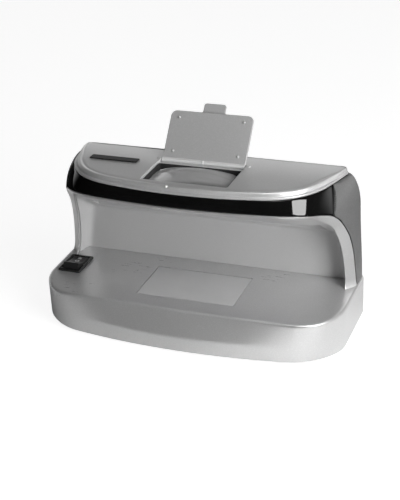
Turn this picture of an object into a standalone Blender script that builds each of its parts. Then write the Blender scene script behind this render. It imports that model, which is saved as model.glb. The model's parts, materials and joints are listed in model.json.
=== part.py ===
"""Desk-top counterfeit bill detector, built as an assembly.

Frame: +X to the right seen from the operator, +Y to the rear, +Z up.
The origin is on the table plane, under the middle of the overall box (lid open).
Dimensions are in millimetres, with y measured from the front of the base;
point() turns them into scene metres.
"""
import math
from collections import namedtuple

import bpy
import bmesh
from mathutils import Vector, Matrix

for old_object in list(bpy.data.objects):
    bpy.data.objects.remove(old_object, do_unlink=True)

# ------------------------------------------------------------------ driving dimensions
MM = 0.001
Y_MID = 44.24         # from the front of the base to the middle of the overall depth,
                      # which the open lid stretches to the rear
GAP = 0.35            # assembly gap between neighbouring parts

BASE_Z0, BASE_CREASE, TRAY_Z = 2.0, 11.2, 26.0
BASE_WALL, BASE_HALF = 2.4, 95.0
REAR_Y, REAR_R = 83.5, 9.0
BACK_WALL_Y = 70.0    # face of the chamber's back wall
HEAD_Z = 94.0         # underside of the cover's lip
COVER_Z = 97.4        # flat top of the cover
COVER_UNDER = 94.9
COVER_REAR_HALF, COVER_REAR_Y, COVER_REAR_R = 84.9, 81.2, 4.2
ROLL_Y, ROLL_DROP = 44.0, 2.7       # where the head's top starts to fall, and how far

BOSS_R, BORE_R = 3.6, 1.75          # screw bosses of the base and the lining
COVER_BORE_R = 1.25

SHOULDER_Z = 73.0     # where the rear shell starts to round over
SHELL_W = 2.2
SHELL_HALF_LOW, SHELL_HALF_SHOULDER, SHELL_HALF_TOP = 94.0, 92.6, 85.0

LID_AXIS_Y, LID_AXIS_Z = 61.6, 96.2
LID_OPEN = 129.5      # degrees from closed; this is the rest pose
LID_HALF, LID_LEN, LID_LOW, LID_TOP = 26.2, 31.6, -0.2, 1.3
LID_CORNER_R = 3.6
LID_BARREL_R, LID_PIN_R, LID_BORE_R = 1.4, 0.5, 0.82
LID_PIN_HALF, LID_PIN_BORE_HALF = 28.4, 28.7
TAB_HALF, TAB_LEN, TAB_STEP, TAB_R = 7.3, 6.5, 1.6, 1.6
EAR_R = 1.5

LENS_HALF, LENS_Y0, LENS_Y1 = 25.9, 29.3, 56.4
LENS_TOP, LENS_FLAT, LENS_CORNER_R = 95.7, 88.9, 6.0
LENS_RX, LENS_RY = 110.0, 300.0     # crown across and along the lens
LENS_NX, LENS_NY = 16, 10           # mesh cells across and along the lens

SWITCH_X, SWITCH_Y, SWITCH_PIVOT_Z = -82.2, 43.7, 26.5
SWITCH_BODY_Z0 = 12.0
SWITCH_TILT = 12.0    # degrees each way from the centre position

TUBE_Y, TUBE_Z, TUBE_R, TUBE_HALF = 60.5, 73.5, 8.0, 60.0
REFLECTOR_R0, REFLECTOR_R1, REFLECTOR_HALF = 10.3, 11.2, 65.5
REFLECTOR_START, REFLECTOR_SWEEP, REFLECTOR_STEPS = -50.9, 228, 14   # degrees from +Y to +Z

BACKLIGHT_TOP, BACKLIGHT_FLOOR, BACKLIGHT_BOARD_TOP = 21.35, 8.9, 10.85
BALLAST_BOARD_TOP = 9.2
JACK_X, JACK_Z = 60, 13
LEAD_R = 0.75

X_AXIS, Y_AXIS, Z_AXIS = (1, 0, 0), (0, 1, 0), (0, 0, 1)

# Stations of the front frame, right half, from the tray up the cheek and along the
# head to the middle. Columns: inner edge (x, y, z), outer edge (x, y, z), angle of
# the inward normal from +Y towards -X, and the matching (x, z) on the outline of
# the chamber's back wall.
FRAME = [
    ((87.9, 58.0, 26.3), (93.6, 64.2, 26.3), 40, (86.0, 26.3)),
    ((87.6, 59.1, 30.0), (93.0, 64.8, 30.0), 40, (85.4, 29.5)),
    ((86.9, 59.6, 39.0), (92.3, 64.6, 39.5), 40, (84.0, 37.0)),
    ((86.1, 59.0, 47.0), (91.5, 63.7, 48.5), 40, (82.8, 43.5)),
    ((85.2, 57.6, 54.0), (90.2, 60.5, 59.0), 40, (81.8, 48.5)),
    ((84.4, 55.7, 59.4), (89.3, 57.8, 64.0), 41, (81.1, 52.0)),
    ((83.5, 53.3, 64.0), (88.2, 54.3, 69.0), 43, (80.5, 54.8)),
    ((82.5, 50.8, 68.6), (87.0, 49.6, 74.3), 48, (79.5, 56.6)),
    ((80.6, 46.5, 72.7), (84.2, 44.5, 79.0), 54, (77.5, 57.0)),
    ((76.0, 38.0, 78.6), (80.0, 38.4, 81.6), 53, (73.0, 57.0)),
    ((70.5, 30.2, 81.8), (75.0, 31.8, 83.4), 48, (67.5, 57.0)),
    ((63.0, 25.2, 83.2), (67.5, 26.2, 84.8), 36, (60.5, 57.0)),
    ((52.5, 22.5, 84.0), (56.0, 21.8, 85.7), 20, (50.5, 57.0)),
    ((37.5, 20.4, 84.5), (39.0, 19.1, 86.0), 9, (36.5, 57.0)),
    ((19.0, 19.0, 84.7), (19.5, 17.6, 86.0), 4, (18.5, 57.0)),
    ((0.0, 18.4, 84.8), (0.0, 17.0, 86.0), 0, (0.0, 57.0)),
]
CORNER_STATION = 8    # where the band ends and the strip turns down
FRAME_STEPS = 3       # interpolated steps per frame station

# Outline (x, y) of the cover's lip in plan, right half, front to rear.
COVER_PLAN = [(0, 18.5), (20, 19.3), (40, 21.8), (55, 25.2), (66, 31.2), (73, 38.2),
              (78.4, 47.5), (81.2, 57.5), (83.2, 67.0), (84.4, 75.5)]
COVER_STEPS = 3       # interpolated steps per cover station


# ------------------------------------------------------------------ places and ranges
def point(x, y, z):
    return Vector((x * MM, (y - Y_MID) * MM, z * MM))


def about(middle, half):
    return (middle - half, middle + half)


def outward(side, near, far):
    """X range between two distances from the middle, on side -1 or +1."""
    return sorted((side * near, side * far))


def four_places(x_a, y_a, x_b, y_b):
    """Two mirrored pairs of (x, y): left then right at y_a, then at y_b."""
    return [(-x_a, y_a), (x_a, y_a), (-x_b, y_b), (x_b, y_b)]


def at_height(places, z):
    return [(x, y, z) for x, y in places]


def slots(first, width, pitch, count):
    """Evenly pitched ranges along an axis."""
    return [(first + pitch * i, first + width + pitch * i) for i in range(count)]


# ------------------------------------------------------------------ curve helpers
def distances(path):
    """Length along a path at each of its points, from the first three columns."""
    lengths = [0.0]
    for a, b in zip(path[:-1], path[1:]):
        lengths.append(lengths[-1] + math.dist(a[:3], b[:3]))
    return lengths


def spline(stations, steps):
    """Smooth curve through stations (tuples of any length), with steps in each span."""
    count = len(stations)
    columns = range(len(stations[0]))
    knots = distances(stations)
    tangents = []
    for i in range(count):
        a, b = max(i - 1, 0), min(i + 1, count - 1)
        tangents.append([(stations[b][k] - stations[a][k]) / (knots[b] - knots[a])
                         for k in columns])
    curve = []
    for i in range(count - 1):
        span = knots[i + 1] - knots[i]
        for j in range(steps):
            s = j / steps
            # cubic Hermite weights of the two ends and their tangents
            start, start_tan = 2 * s**3 - 3 * s**2 + 1, s**3 - 2 * s**2 + s
            end, end_tan = -2 * s**3 + 3 * s**2, s**3 - s**2
            curve.append(tuple(
                start * stations[i][k] + start_tan * span * tangents[i][k]
                + end * stations[i + 1][k] + end_tan * span * tangents[i + 1][k]
                for k in columns))
    curve.append(tuple(float(v) for v in stations[-1]))
    return curve


def point_on(path, fraction):
    """Point at a fraction of the path's length."""
    lengths = distances(path)
    target = fraction * lengths[-1]
    for i in range(len(path) - 1):
        if target <= lengths[i + 1]:
            s = (target - lengths[i]) / (lengths[i + 1] - lengths[i])
            return path[i].lerp(path[i + 1], s)


def smooth(x, start, end):
    """Ease from 0 at start to 1 at end."""
    s = min(1.0, max(0.0, (x - start) / (end - start)))
    return s * s * (3 - 2 * s)


def arc(centre_x, centre_y, radius, steps, start=0, sweep=90):
    """Points of an arc in a plane; start and sweep are in degrees."""
    points = []
    for i in range(steps + 1):
        t = math.radians(start) + math.radians(sweep) * i / steps
        points.append((centre_x + radius * math.cos(t), centre_y + radius * math.sin(t)))
    return points


def mirrored(outline):
    """The (x, y) points mirrored to the other side, in reverse order."""
    return [(-x, y) for x, y in reversed(outline)]


def mirrored_sections(sections):
    return [[Vector((-v.x, v.y, v.z)) for v in section] for section in reversed(sections)]


# ------------------------------------------------------------------ mesh helpers
def link_object(name, data):
    ob = bpy.data.objects.new(name, data)
    bpy.context.scene.collection.objects.link(ob)
    return ob


def mesh_object(name, bm):
    mesh = bpy.data.meshes.new(name)
    bm.to_mesh(mesh)
    bm.free()
    return link_object(name, mesh)


def finish_mesh(name, bm, mat, angle=38.0):
    """Make the object, shaded smooth with edges above angle (degrees) kept sharp."""
    bmesh.ops.recalc_face_normals(bm, faces=bm.faces)
    ob = mesh_object(name, bm)
    if mat:
        ob.data.materials.append(mat)
    ob.data.shade_smooth()
    ob.data.set_sharp_from_angle(angle=math.radians(angle))
    return ob


def from_faces(name, verts, faces, mat, angle):
    bm = bmesh.new()
    bm_verts = [bm.verts.new(v) for v in verts]
    for face in faces:
        bm.faces.new([bm_verts[i] for i in face])
    return finish_mesh(name, bm, mat, angle)


def loft(name, rings, mat=None, angle=38.0):
    """Skin a list of equal closed rings; the two end rings are capped."""
    bm = bmesh.new()
    rows = [[bm.verts.new(v) for v in ring] for ring in rings]
    count = len(rows[0])
    for a, b in zip(rows[:-1], rows[1:]):
        for j in range(count):
            k = (j + 1) % count
            bm.faces.new((a[j], a[k], b[k], b[j]))
    bm.faces.new(rows[0])
    bm.faces.new(list(reversed(rows[-1])))
    return finish_mesh(name, bm, mat, angle)


def box(name, x, y, z, mat=None, bevel=0.0):
    """Block between the ends of three (low, high) ranges."""
    bm = bmesh.new()
    bmesh.ops.create_cube(bm, size=1.0)
    low, high = point(x[0], y[0], z[0]), point(x[1], y[1], z[1])
    for v in bm.verts:
        for k in range(3):
            v.co[k] = low[k] if v.co[k] < 0 else high[k]
    if bevel:
        bmesh.ops.bevel(bm, geom=list(bm.edges), offset=bevel * MM, segments=1,
                        profile=0.5, affect='EDGES')
    return finish_mesh(name, bm, mat)


def circle(centre, u, w, radius, count):
    """Circle about centre in the plane of the unit vectors u and w."""
    angles = [2 * math.pi * i / count for i in range(count)]
    return [centre + (u * math.cos(t) + w * math.sin(t)) * radius * MM for t in angles]


def lathe(name, origin, axis, profile, mat=None, segments=24):
    """Turn a profile of (radius, height) pairs. It starts and ends on the axis, or,
    when its first and last radii aren't zero, it closes on itself as a tube."""
    axis = Vector(axis).normalized()
    u = axis.orthogonal().normalized()
    w = axis.cross(u)
    start = point(*origin)
    bm = bmesh.new()
    rows = []
    for radius, height in profile:
        centre = start + axis * height * MM
        ring = [centre] if radius == 0 else circle(centre, u, w, radius, segments)
        rows.append([bm.verts.new(v) for v in ring])
    pairs = list(zip(rows[:-1], rows[1:]))
    if profile[0][0] != 0:
        pairs.append((rows[-1], rows[0]))
    for a, b in pairs:
        for j in range(segments):
            k = (j + 1) % segments
            if len(a) == 1:
                bm.faces.new((a[0], b[j], b[k]))
            elif len(b) == 1:
                bm.faces.new((a[j], a[k], b[0]))
            else:
                bm.faces.new((a[j], a[k], b[k], b[j]))
    return finish_mesh(name, bm, mat)


def rod(name, origin, axis, radius, length, mat=None, segments=16):
    profile = [(0, 0), (radius, 0), (radius, length), (0, length)]
    return lathe(name, origin, axis, profile, mat, segments)


def cross_rod(name, centre, half, radius, mat=None, segments=12):
    """Rod along X, half long on each side of its centre."""
    x, y, z = centre
    return rod(name, (x - half, y, z), X_AXIS, radius, 2 * half, mat, segments)


def screw(name, origin, axis, face_r, head_r, chamfer, head, shank_r, shank_end, tip, segments):
    """Screw from its head at the origin; lengths are measured from the head's face."""
    lathe(name, origin, axis,
          [(0, 0), (face_r, 0), (head_r, chamfer), (head_r, head), (shank_r, head),
           (shank_r, shank_end), (0, tip)], STEEL, segments)


def wire(name, stations, mat):
    """A round lead along a smoothed path."""
    path = [point(*p) for p in spline(stations, 4)]
    rings = []
    up = Vector((0.13, 0.21, 0.97))   # carried along so that the rings don't twist
    for i, centre in enumerate(path):
        tangent = (path[min(i + 1, len(path) - 1)] - path[max(i - 1, 0)]).normalized()
        up = (up - tangent * up.dot(tangent)).normalized()
        rings.append(circle(centre, up, tangent.cross(up), LEAD_R, 7))
    return loft(name, rings, mat)


def prism_x(name, outline, x0, x1, mat=None):
    """Extrude a (y, z) outline from x0 to x1."""
    return loft(name, [[point(x, y, z) for y, z in outline] for x in (x0, x1)], mat)


def merged(name, parts):
    """Put several separate closed helper shapes in one object."""
    bm = bmesh.new()
    for part in parts:
        mesh = part.data
        bm.from_mesh(mesh)
        bpy.data.objects.remove(part, do_unlink=True)
        bpy.data.meshes.remove(mesh)
    return mesh_object(name, bm)


def rods(name, origins, axis, radius, length, segments):
    return merged(name, [rod("part", origin, axis, radius, length, segments=segments)
                         for origin in origins])


def boxes(name, ranges):
    return merged(name, [box("part", x, y, z) for x, y, z in ranges])


def boolean(ob, other, operation):
    modifier = ob.modifiers.new(operation.lower() + "_" + other.name, 'BOOLEAN')
    modifier.object = other
    modifier.operation = operation
    modifier.solver = 'EXACT'
    other.hide_render = True
    other.display_type = 'WIRE'


def cut(ob, *others):
    for other in others:
        boolean(ob, other, 'DIFFERENCE')


def join(ob, *others):
    for other in others:
        boolean(ob, other, 'UNION')


def hang_on_pivot(name, location, degrees, parts):
    """Parent parts to an empty at location, turned about X."""
    pivot = link_object(name, None)
    pivot.location = location
    pivot.rotation_euler = (math.radians(degrees), 0.0, 0.0)
    for part in parts:
        part.parent = pivot


# ------------------------------------------------------------------ finishes
def material(name, color, roughness, metallic=0.0, transmission=0.0, view_alpha=1.0):
    mat = bpy.data.materials.new(name)
    mat.use_nodes = True
    inputs = mat.node_tree.nodes["Principled BSDF"].inputs
    inputs["Base Color"].default_value = (*color, 1.0)
    inputs["Roughness"].default_value = roughness
    inputs["Metallic"].default_value = metallic
    inputs["Transmission Weight"].default_value = transmission
    mat.diffuse_color = (*color, view_alpha)
    return mat


SILVER = material("silver_satin", color=(0.62, 0.62, 0.62), roughness=0.38, metallic=0.35)
SILVER_TOP = material("silver_cover", color=(0.42, 0.42, 0.42), roughness=0.36, metallic=0.35)
PALE = material("pale_grey_lining", color=(0.60, 0.60, 0.59), roughness=0.5)
GREY = material("mid_grey_shell", color=(0.22, 0.22, 0.22), roughness=0.42, metallic=0.2)
LID_GREY = material("lid_grey", color=(0.30, 0.30, 0.30), roughness=0.45, metallic=0.1)
GLOSS = material("gloss_black", color=(0.012, 0.012, 0.012), roughness=0.06)
CLEAR = material("clear_lens", color=(0.9, 0.9, 0.9), roughness=0.03, transmission=1.0,
                 view_alpha=0.35)
BLACK = material("black_plastic", color=(0.02, 0.02, 0.02), roughness=0.4)
ROCKER_BLACK = material("rocker_black", color=(0.03, 0.03, 0.03), roughness=0.3)
RUBBER = material("rubber_dark", color=(0.03, 0.03, 0.03), roughness=0.9)
PLATE = material("dark_grey_plate", color=(0.07, 0.07, 0.07), roughness=0.55)
STEEL = material("zinc_steel", color=(0.62, 0.62, 0.60), roughness=0.3, metallic=1.0)
TUBE = material("uv_glass", color=(0.25, 0.22, 0.42), roughness=0.08, transmission=0.3)
ALUMINIUM = material("aluminium", color=(0.75, 0.75, 0.76), roughness=0.3, metallic=1.0)
WHITE = material("white_plastic", color=(0.78, 0.78, 0.76), roughness=0.45)
FROST = material("frosted_window", color=(0.74, 0.74, 0.73), roughness=0.55)
BOARD = material("board_green", color=(0.03, 0.16, 0.07), roughness=0.5)
FERRITE = material("ferrite", color=(0.06, 0.055, 0.05), roughness=0.6)
TAPE = material("winding_tape", color=(0.55, 0.38, 0.05), roughness=0.5)
SLEEVE = material("capacitor_sleeve", color=(0.03, 0.05, 0.16), roughness=0.35)
BRASS = material("tin_brass", color=(0.70, 0.58, 0.32), roughness=0.3, metallic=1.0)
WIRE_RED = material("wire_sleeve", color=(0.45, 0.02, 0.02), roughness=0.45)
WIRE_BLACK = material("wire_sleeve_black", color=(0.02, 0.02, 0.02), roughness=0.45)
LED = material("led_yellow", color=(0.85, 0.75, 0.30), roughness=0.25)
BADGE = material("badge_dark", color=(0.05, 0.05, 0.05), roughness=0.35)

# ------------------------------------------------------------------ base
# The front corners are quarter ellipses about (corner_x, corner_y), corner_rx wide;
# bow draws the front back with the square of x.
LOWER_EDGE = dict(front_y=0.4, bow=0.00123, corner_x=66.0, corner_rx=28.8, corner_y=34.0)
TRAY_EDGE = dict(front_y=7.0, bow=0.00012, corner_x=70.0, corner_rx=24.6, corner_y=38.0)


def base_ring(z, inset, front_y, bow, corner_x, corner_rx, corner_y):
    """Bow-fronted outline: nearly flat front, elliptical front corners, nearly straight
    sides, small round rear corners."""
    front_y, corner_rx, half = front_y + inset, corner_rx - inset, BASE_HALF - inset
    rear_y, rear_r = REAR_Y - inset, REAR_R - inset
    depth = corner_y - front_y
    right = [(corner_x * i / 6.0, front_y) for i in range(6)]
    for i in range(13):
        t = math.pi / 2 * i / 12
        right.append((corner_x + corner_rx * math.sin(t), corner_y - depth * math.cos(t)))
    for i in range(1, 4):
        s = i / 4.0
        right.append((corner_x + corner_rx + (half - corner_x - corner_rx) * s,
                      corner_y + (rear_y - rear_r - corner_y) * s))
    right += arc(half - rear_r, rear_y - rear_r, rear_r, 4)
    right += [(half * 0.45, rear_y), (0.0, rear_y)]
    bowed = []
    for x, y in right:
        fall = min(1.0, max(0.0, (corner_y - y) / depth))
        bowed.append((x, y + bow * x * x * fall))
    return [point(x, y, z) for x, y in bowed + mirrored(bowed[1:-1])]


def lower_outline(z, inset=0.0):
    return base_ring(z, inset, **LOWER_EDGE)


def tray_outline(z, inset=0.0):
    return base_ring(z, inset, **TRAY_EDGE)


BOSSES = four_places(79, 27, 82, 75)
FEET = four_places(60, 19, 66, 72)
CORNER_TAGS = ("fl", "fr", "rl", "rr")
CUT_THROUGH_TRAY = (22.0, 27.0)     # z range

base = loft("base_shell", [
    tray_outline(TRAY_Z - 2.6, BASE_WALL + 0.2),
    lower_outline(BASE_CREASE, BASE_WALL),
    lower_outline(BASE_Z0, BASE_WALL),
    lower_outline(BASE_Z0),
    lower_outline(BASE_CREASE),
    tray_outline(TRAY_Z - 0.9),
    tray_outline(TRAY_Z, 0.9),
], SILVER, angle=50)
join(base, rods("boss_blanks", at_height(BOSSES, 4.8), Z_AXIS, BOSS_R, 20.0, 12))
cut(base,
    rods("boss_bores", at_height(BOSSES, 3.0), Z_AXIS, BORE_R, 13.5, 14),
    box("switch_hole", x=about(SWITCH_X, 6.8), y=about(SWITCH_Y, 9.8), z=CUT_THROUGH_TRAY),
    box("window_hole", x=(-31, 31), y=(20, 56), z=CUT_THROUGH_TRAY),
    box("harness_hole", x=(50, 78), y=(75, 79.5), z=CUT_THROUGH_TRAY),
    rod("jack_hole", (JACK_X, 78, JACK_Z), Y_AXIS, 4.2, 8, segments=20))

plate = loft("bottom_plate", [lower_outline(z, BASE_WALL + 0.5) for z in (2.2, 4.2)], PLATE)
cut(plate,
    rods("plate_bores", at_height(BOSSES, 1.0), Z_AXIS, BORE_R, 5, 12),
    boxes("plate_vents", [(x, (28, 52), (1.0, 6.0))
                          for x in slots(first=-24, width=3.5, pitch=8, count=6)]))
for tag, origin in zip(CORNER_TAGS, at_height(BOSSES, 0.9)):
    screw(f"base_screw_{tag}", origin, Z_AXIS, face_r=2.2, head_r=2.8, chamfer=0.3,
          head=1.0, shank_r=1.4, shank_end=14.0, tip=15.0, segments=14)
for tag, origin in zip(CORNER_TAGS, at_height(FEET, 0.0)):
    lathe(f"rubber_foot_{tag}", origin, Z_AXIS,
          [(0, 0), (5.6, 0), (6.2, 0.6), (6.2, 1.9), (0, 1.9)], RUBBER, 20)

# ------------------------------------------------------------------ front frame
Station = namedtuple("Station", "inner outer angle back")
FRAME_DEPTH, FRAME_INNER_DEPTH = 2.4, 2.0


def frame_stations():
    """Right half from the tray to the middle, as interpolated stations."""
    rows = [inner + outer + (angle,) + back for inner, outer, angle, back in FRAME]
    return [Station(Vector(p[0:3]), Vector(p[3:6]), p[6], Vector((p[7], BACK_WALL_Y, p[8])))
            for p in spline(rows, FRAME_STEPS)]


STATIONS = frame_stations()
CORNER_INDEX = CORNER_STATION * FRAME_STEPS


def inward(angle):
    """Inward direction of a wall whose plan normal is turned by angle degrees."""
    return Vector((-math.sin(math.radians(angle)), math.cos(math.radians(angle)), 0.0))


def both_sides(section):
    """Sections in metres from the right foot over the middle to the left foot."""
    right = [[point(*v) for v in section(station)] for station in STATIONS]
    return right + mirrored_sections(right[:-1])


def frame_section(station):
    to_back = (station.back - station.inner).normalized()
    return [station.inner, station.outer,
            station.outer + inward(station.angle) * FRAME_DEPTH,
            station.inner + to_back * FRAME_INNER_DEPTH]


loft("front_frame", both_sides(frame_section), SILVER, angle=50)

# ------------------------------------------------------------------ chamber lining
LINING_RIM, LINING_BACK, LINING_SPREAD = 2.2, 2.2, 2.1
REAR_SCREWS = [(-62.0, 36.0), (62.0, 36.0)]     # (x, z)


def rear_screws_at(y):
    return [(x, y, z) for x, z in REAR_SCREWS]


def lining_section(station):
    """Front inner, front outer, back outer and back inner corner."""
    back = station.back
    frame = frame_section(station)
    to_back = (back - station.inner).normalized()
    front_inner = station.inner + to_back * (FRAME_INNER_DEPTH + GAP)
    front_outer = front_inner + (frame[2] - frame[3]).normalized() * LINING_RIM
    # the outer corner spreads sideways on the cheeks, upwards along the roof
    roof = smooth(back.z, 56.0, 57.0)
    spread = Vector((1 - roof, 0, roof))
    if back.z > 54.0 and back.x > 74.0:
        spread = Vector((0.75, 0, 0.75))
    back_outer = Vector((back.x, back.y + LINING_BACK, back.z)) + spread * LINING_SPREAD
    return [front_inner, front_outer, back_outer, back]


def build_lining():
    sections = both_sides(lining_section)
    count = len(sections)
    faces = []
    for i in range(count - 1):
        a, b = 4 * i, 4 * (i + 1)
        faces.append((a + 3, a + 0, b + 0, b + 3))       # inner faces of the chamber
        faces.append((a + 0, a + 1, b + 1, b + 0))       # front rim
        faces.append((a + 1, a + 2, b + 2, b + 1))       # outer faces
    last = 4 * (count - 1)
    faces.append([4 * i + 3 for i in range(count)])      # back wall, chamber side
    faces.append([4 * i + 2 for i in reversed(range(count))])   # back wall, rear side
    faces.append((0, 1, 2, last + 2, last + 1, last + 0, last + 3, 3))  # foot on the tray
    verts = [v for section in sections for v in section]
    return from_faces("chamber_lining", verts, faces, PALE, angle=30)


lining = build_lining()
join(lining, rods("lining_bosses", rear_screws_at(71.0), Y_AXIS, BOSS_R, 9.0, 12))
cut(lining,
    rods("lining_bores", rear_screws_at(72.9), Y_AXIS, BORE_R, 9.0, 14),
    box("view_window", x=(-24, 24), y=(26, 48.5), z=(60, 92)),
    box("lamp_slot", x=(-74.5, 74.5), y=(52.5, 67.3), z=(54, 82)))

# ------------------------------------------------------------------ rear shell
SEAM_LOW = [station.outer for station in STATIONS[:CORNER_INDEX + 1]]
SEAM_TOP = Vector((81.35, 56.0, HEAD_Z))
SHELL_SIDE_STEPS = 8
SHELL_LEVELS = [TRAY_Z + GAP, 32, 39, 46, 53, 60, 66, 71, 75, 79, 82.5, 85.5, 88, 90,
                91.8, 93.0, HEAD_Z - GAP]


def roll(y):
    """How far the top of the head falls away towards the rear."""
    return ROLL_DROP * max(0.0, (y - ROLL_Y) / (COVER_REAR_Y - ROLL_Y)) ** 2


def seam_at(z):
    """Where the side panel starts: along the strip, then along the band's end."""
    corner = SEAM_LOW[-1]
    if z <= corner.z:
        for a, b in zip(SEAM_LOW[:-1], SEAM_LOW[1:]):
            if a.z <= z <= b.z:
                return a.lerp(b, (z - a.z) / (b.z - a.z))
    s = (z - corner.z) / (HEAD_Z - corner.z)
    seam = corner.lerp(SEAM_TOP, s)
    bulge = 1.6 * math.sin(math.pi * s)
    return Vector((seam.x + bulge * 0.9, seam.y - bulge * 0.6, z))


def shell_path(z):
    """Right half of the rear shell's outer face at height z, seam to rear middle."""
    rise = min(1.0, max(0.0, (z - SHOULDER_Z) / (HEAD_Z - SHOULDER_Z)))
    drop = 1.0 - math.sqrt(max(0.0, 1.0 - rise * rise))
    half = (SHELL_HALF_LOW
            - (SHELL_HALF_LOW - SHELL_HALF_SHOULDER) * smooth(z, TRAY_Z, SHOULDER_Z)
            - (SHELL_HALF_SHOULDER - SHELL_HALF_TOP) * drop)
    rear_y = REAR_Y - (REAR_Y - COVER_REAR_Y - 0.1) * drop
    radius = REAR_R - (REAR_R - COVER_REAR_R) * drop
    # the side is a quadratic curve from the seam to the rear corner
    seam = seam_at(z)
    x0, y0 = seam.x, seam.y + 0.5
    x2, y2 = half, rear_y - radius
    x1, y1 = x0 + (x2 - x0) * 0.80, y0 + (y2 - y0) * 0.45
    path = []
    for i in range(SHELL_SIDE_STEPS):
        t = i / SHELL_SIDE_STEPS
        path.append(((1 - t) ** 2 * x0 + 2 * t * (1 - t) * x1 + t * t * x2,
                     (1 - t) ** 2 * y0 + 2 * t * (1 - t) * y1 + t * t * y2))
    path += arc(half - radius, rear_y - radius, radius, 6)
    return path + [(half * 0.5, rear_y), (0.0, rear_y)]


def shell_ring(z):
    outer = shell_path(z)
    last = len(outer) - 1
    inner = []
    # the wall's end at the seam is slanted; the slant fades along the side
    slant = 2.75 - 2.3 * smooth(z, 72.0, 85.0)
    for i, (x, y) in enumerate(outer):
        before, after = outer[max(i - 1, 0)], outer[min(i + 1, last)]
        dx, dy = after[0] - before[0], after[1] - before[1]
        length = math.hypot(dx, dy)
        dx, dy = (-1.0, 0.0) if i == last else (dx / length, dy / length)
        shift = slant * max(0.0, 1.0 - i / SHELL_SIDE_STEPS)
        inner.append((x - dy * SHELL_W + dx * shift, y + dx * SHELL_W + dy * shift))
    full_outer = outer + mirrored(outer[:-1])
    full_inner = inner + mirrored(inner[:-1])
    blend = smooth(z, SHOULDER_Z, HEAD_Z)
    return [point(x, y, z - blend * roll(y)) for x, y in full_outer + full_inner[::-1]]


shell = loft("rear_shell", [shell_ring(z) for z in SHELL_LEVELS], GREY, angle=50)
cut(shell,
    rods("shell_bores", rear_screws_at(78.0), Y_AXIS, BORE_R, 9.0, 12),
    boxes("shell_vents", [(x, (78.0, 86.0), z) for z in ((66.0, 68.2), (72.0, 74.2))
                          for x in slots(first=-38, width=8, pitch=11, count=7)]))
for tag, origin in zip(("left", "right"), rear_screws_at(85.1)):
    screw(f"rear_screw_{tag}", origin, (0, -1, 0), face_r=2.2, head_r=3.0, chamfer=0.4,
          head=1.2, shank_r=1.4, shank_end=10.5, tip=11.5, segments=14)


# ------------------------------------------------------------------ band
def cover_plan():
    """Right half of the cover's lip, front middle to near the rear middle."""
    corner = arc(COVER_REAR_HALF - COVER_REAR_R, COVER_REAR_Y - COVER_REAR_R, COVER_REAR_R, 4)
    return (spline(COVER_PLAN, COVER_STEPS) + corner
            + [(55.0, COVER_REAR_Y), (27.0, COVER_REAR_Y)])


def build_band():
    """Black band between the frame's outer edge and the cover's lip."""
    top_z = HEAD_Z - GAP
    upper = [Vector((x, y, top_z - roll(y))) for x, y in cover_plan() if y < SEAM_TOP.y - 0.2]
    upper.append(Vector((SEAM_TOP.x - 0.15, SEAM_TOP.y - 0.35, top_z - roll(SEAM_TOP.y))))
    stations = STATIONS[:CORNER_INDEX - 1:-1]     # middle to corner
    lengths = distances([station.outer for station in stations])
    right = []
    for station, length in zip(stations, lengths):
        low = station.outer + Vector((0, 0, GAP))
        high = point_on(upper, length / lengths[-1])
        normal = inward(station.angle)
        middle = (low + high) * 0.5 - normal * 0.5
        section = [low, middle, high,
                   high + normal * 1.7, middle + normal * 2.1, low + normal * 1.8]
        right.append([point(*v) for v in section])
    loft("gloss_band", mirrored_sections(right[1:]) + right, GLOSS, angle=50)


build_band()

# ------------------------------------------------------------------ cover
# Rings from the underside round the lip to the flat top: (z, inset).
COVER_RINGS = [
    (COVER_UNDER, 3.2), (HEAD_Z, 2.6), (HEAD_Z, 0.0), (HEAD_Z + 0.9, 0.0),
    (95.3, 0.7), (95.5, 1.3), (96.9, 1.9), (97.7, 3.0), (97.55, 4.3), (97.15, 5.2),
    (COVER_Z, 6.0),
]
REAR_INSET = 0.35     # share of the inset left at the rear
COVER_SCREWS = four_places(29.6, 31.0, 29.6, 55.0)
LID_AXIS = (0, LID_AXIS_Y, LID_AXIS_Z)
# Section (y, z) of the pocket for the lens, the lid and its barrel.
LID_POCKET = [(28.8, 84), (57.0, 84), (57.0, 95.65), (59.8, 95.65), (59.8, 94.4),
              (63.4, 94.4), (63.4, 95.2), (65.1, 96.8), (65.1, 99.5), (28.8, 99.5)]


def cover_ring(z, inset):
    """The cover's outline moved inwards; the inset narrows towards the rear."""
    right = cover_plan()
    outline = right + [(0.0, COVER_REAR_Y)] + mirrored(right[1:])
    ring = []
    for i, (x, y) in enumerate(outline):
        before, after = outline[i - 1], outline[(i + 1) % len(outline)]
        dx, dy = after[0] - before[0], after[1] - before[1]
        length = math.hypot(dx, dy)
        share = 1.0 - (1.0 - REAR_INSET) * smooth(y, 48.0, 76.0)
        moved_y = y + dx / length * inset * share
        ring.append(point(x - dy / length * inset * share, moved_y, z - roll(moved_y)))
    return ring


cover = loft("top_cover", [cover_ring(z, inset) for z, inset in COVER_RINGS], SILVER_TOP,
             angle=40)
join(cover,
     box("hinge_block", x=(-31.5, 31.5), y=(26.0, 67.0), z=(90.2, 95.6)),
     rods("hinge_ears", [(x, LID_AXIS_Y, LID_AXIS_Z) for x in (-29.3, 26.7)], X_AXIS,
          EAR_R, 2.6, 16))
cut(cover,
    prism_x("lid_pocket", LID_POCKET, -26.65, 26.65),
    cross_rod("pin_bore", LID_AXIS, LID_PIN_BORE_HALF, LID_BORE_R),
    rods("cover_bores", at_height(COVER_SCREWS, 88.0), Z_AXIS, COVER_BORE_R, 6.0, 12))
box("name_plate", x=(-69.0, -38.0), y=(49.5, 55.5), z=(COVER_Z + 0.25, COVER_Z + 0.75),
    mat=BADGE, bevel=0.2)


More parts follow.
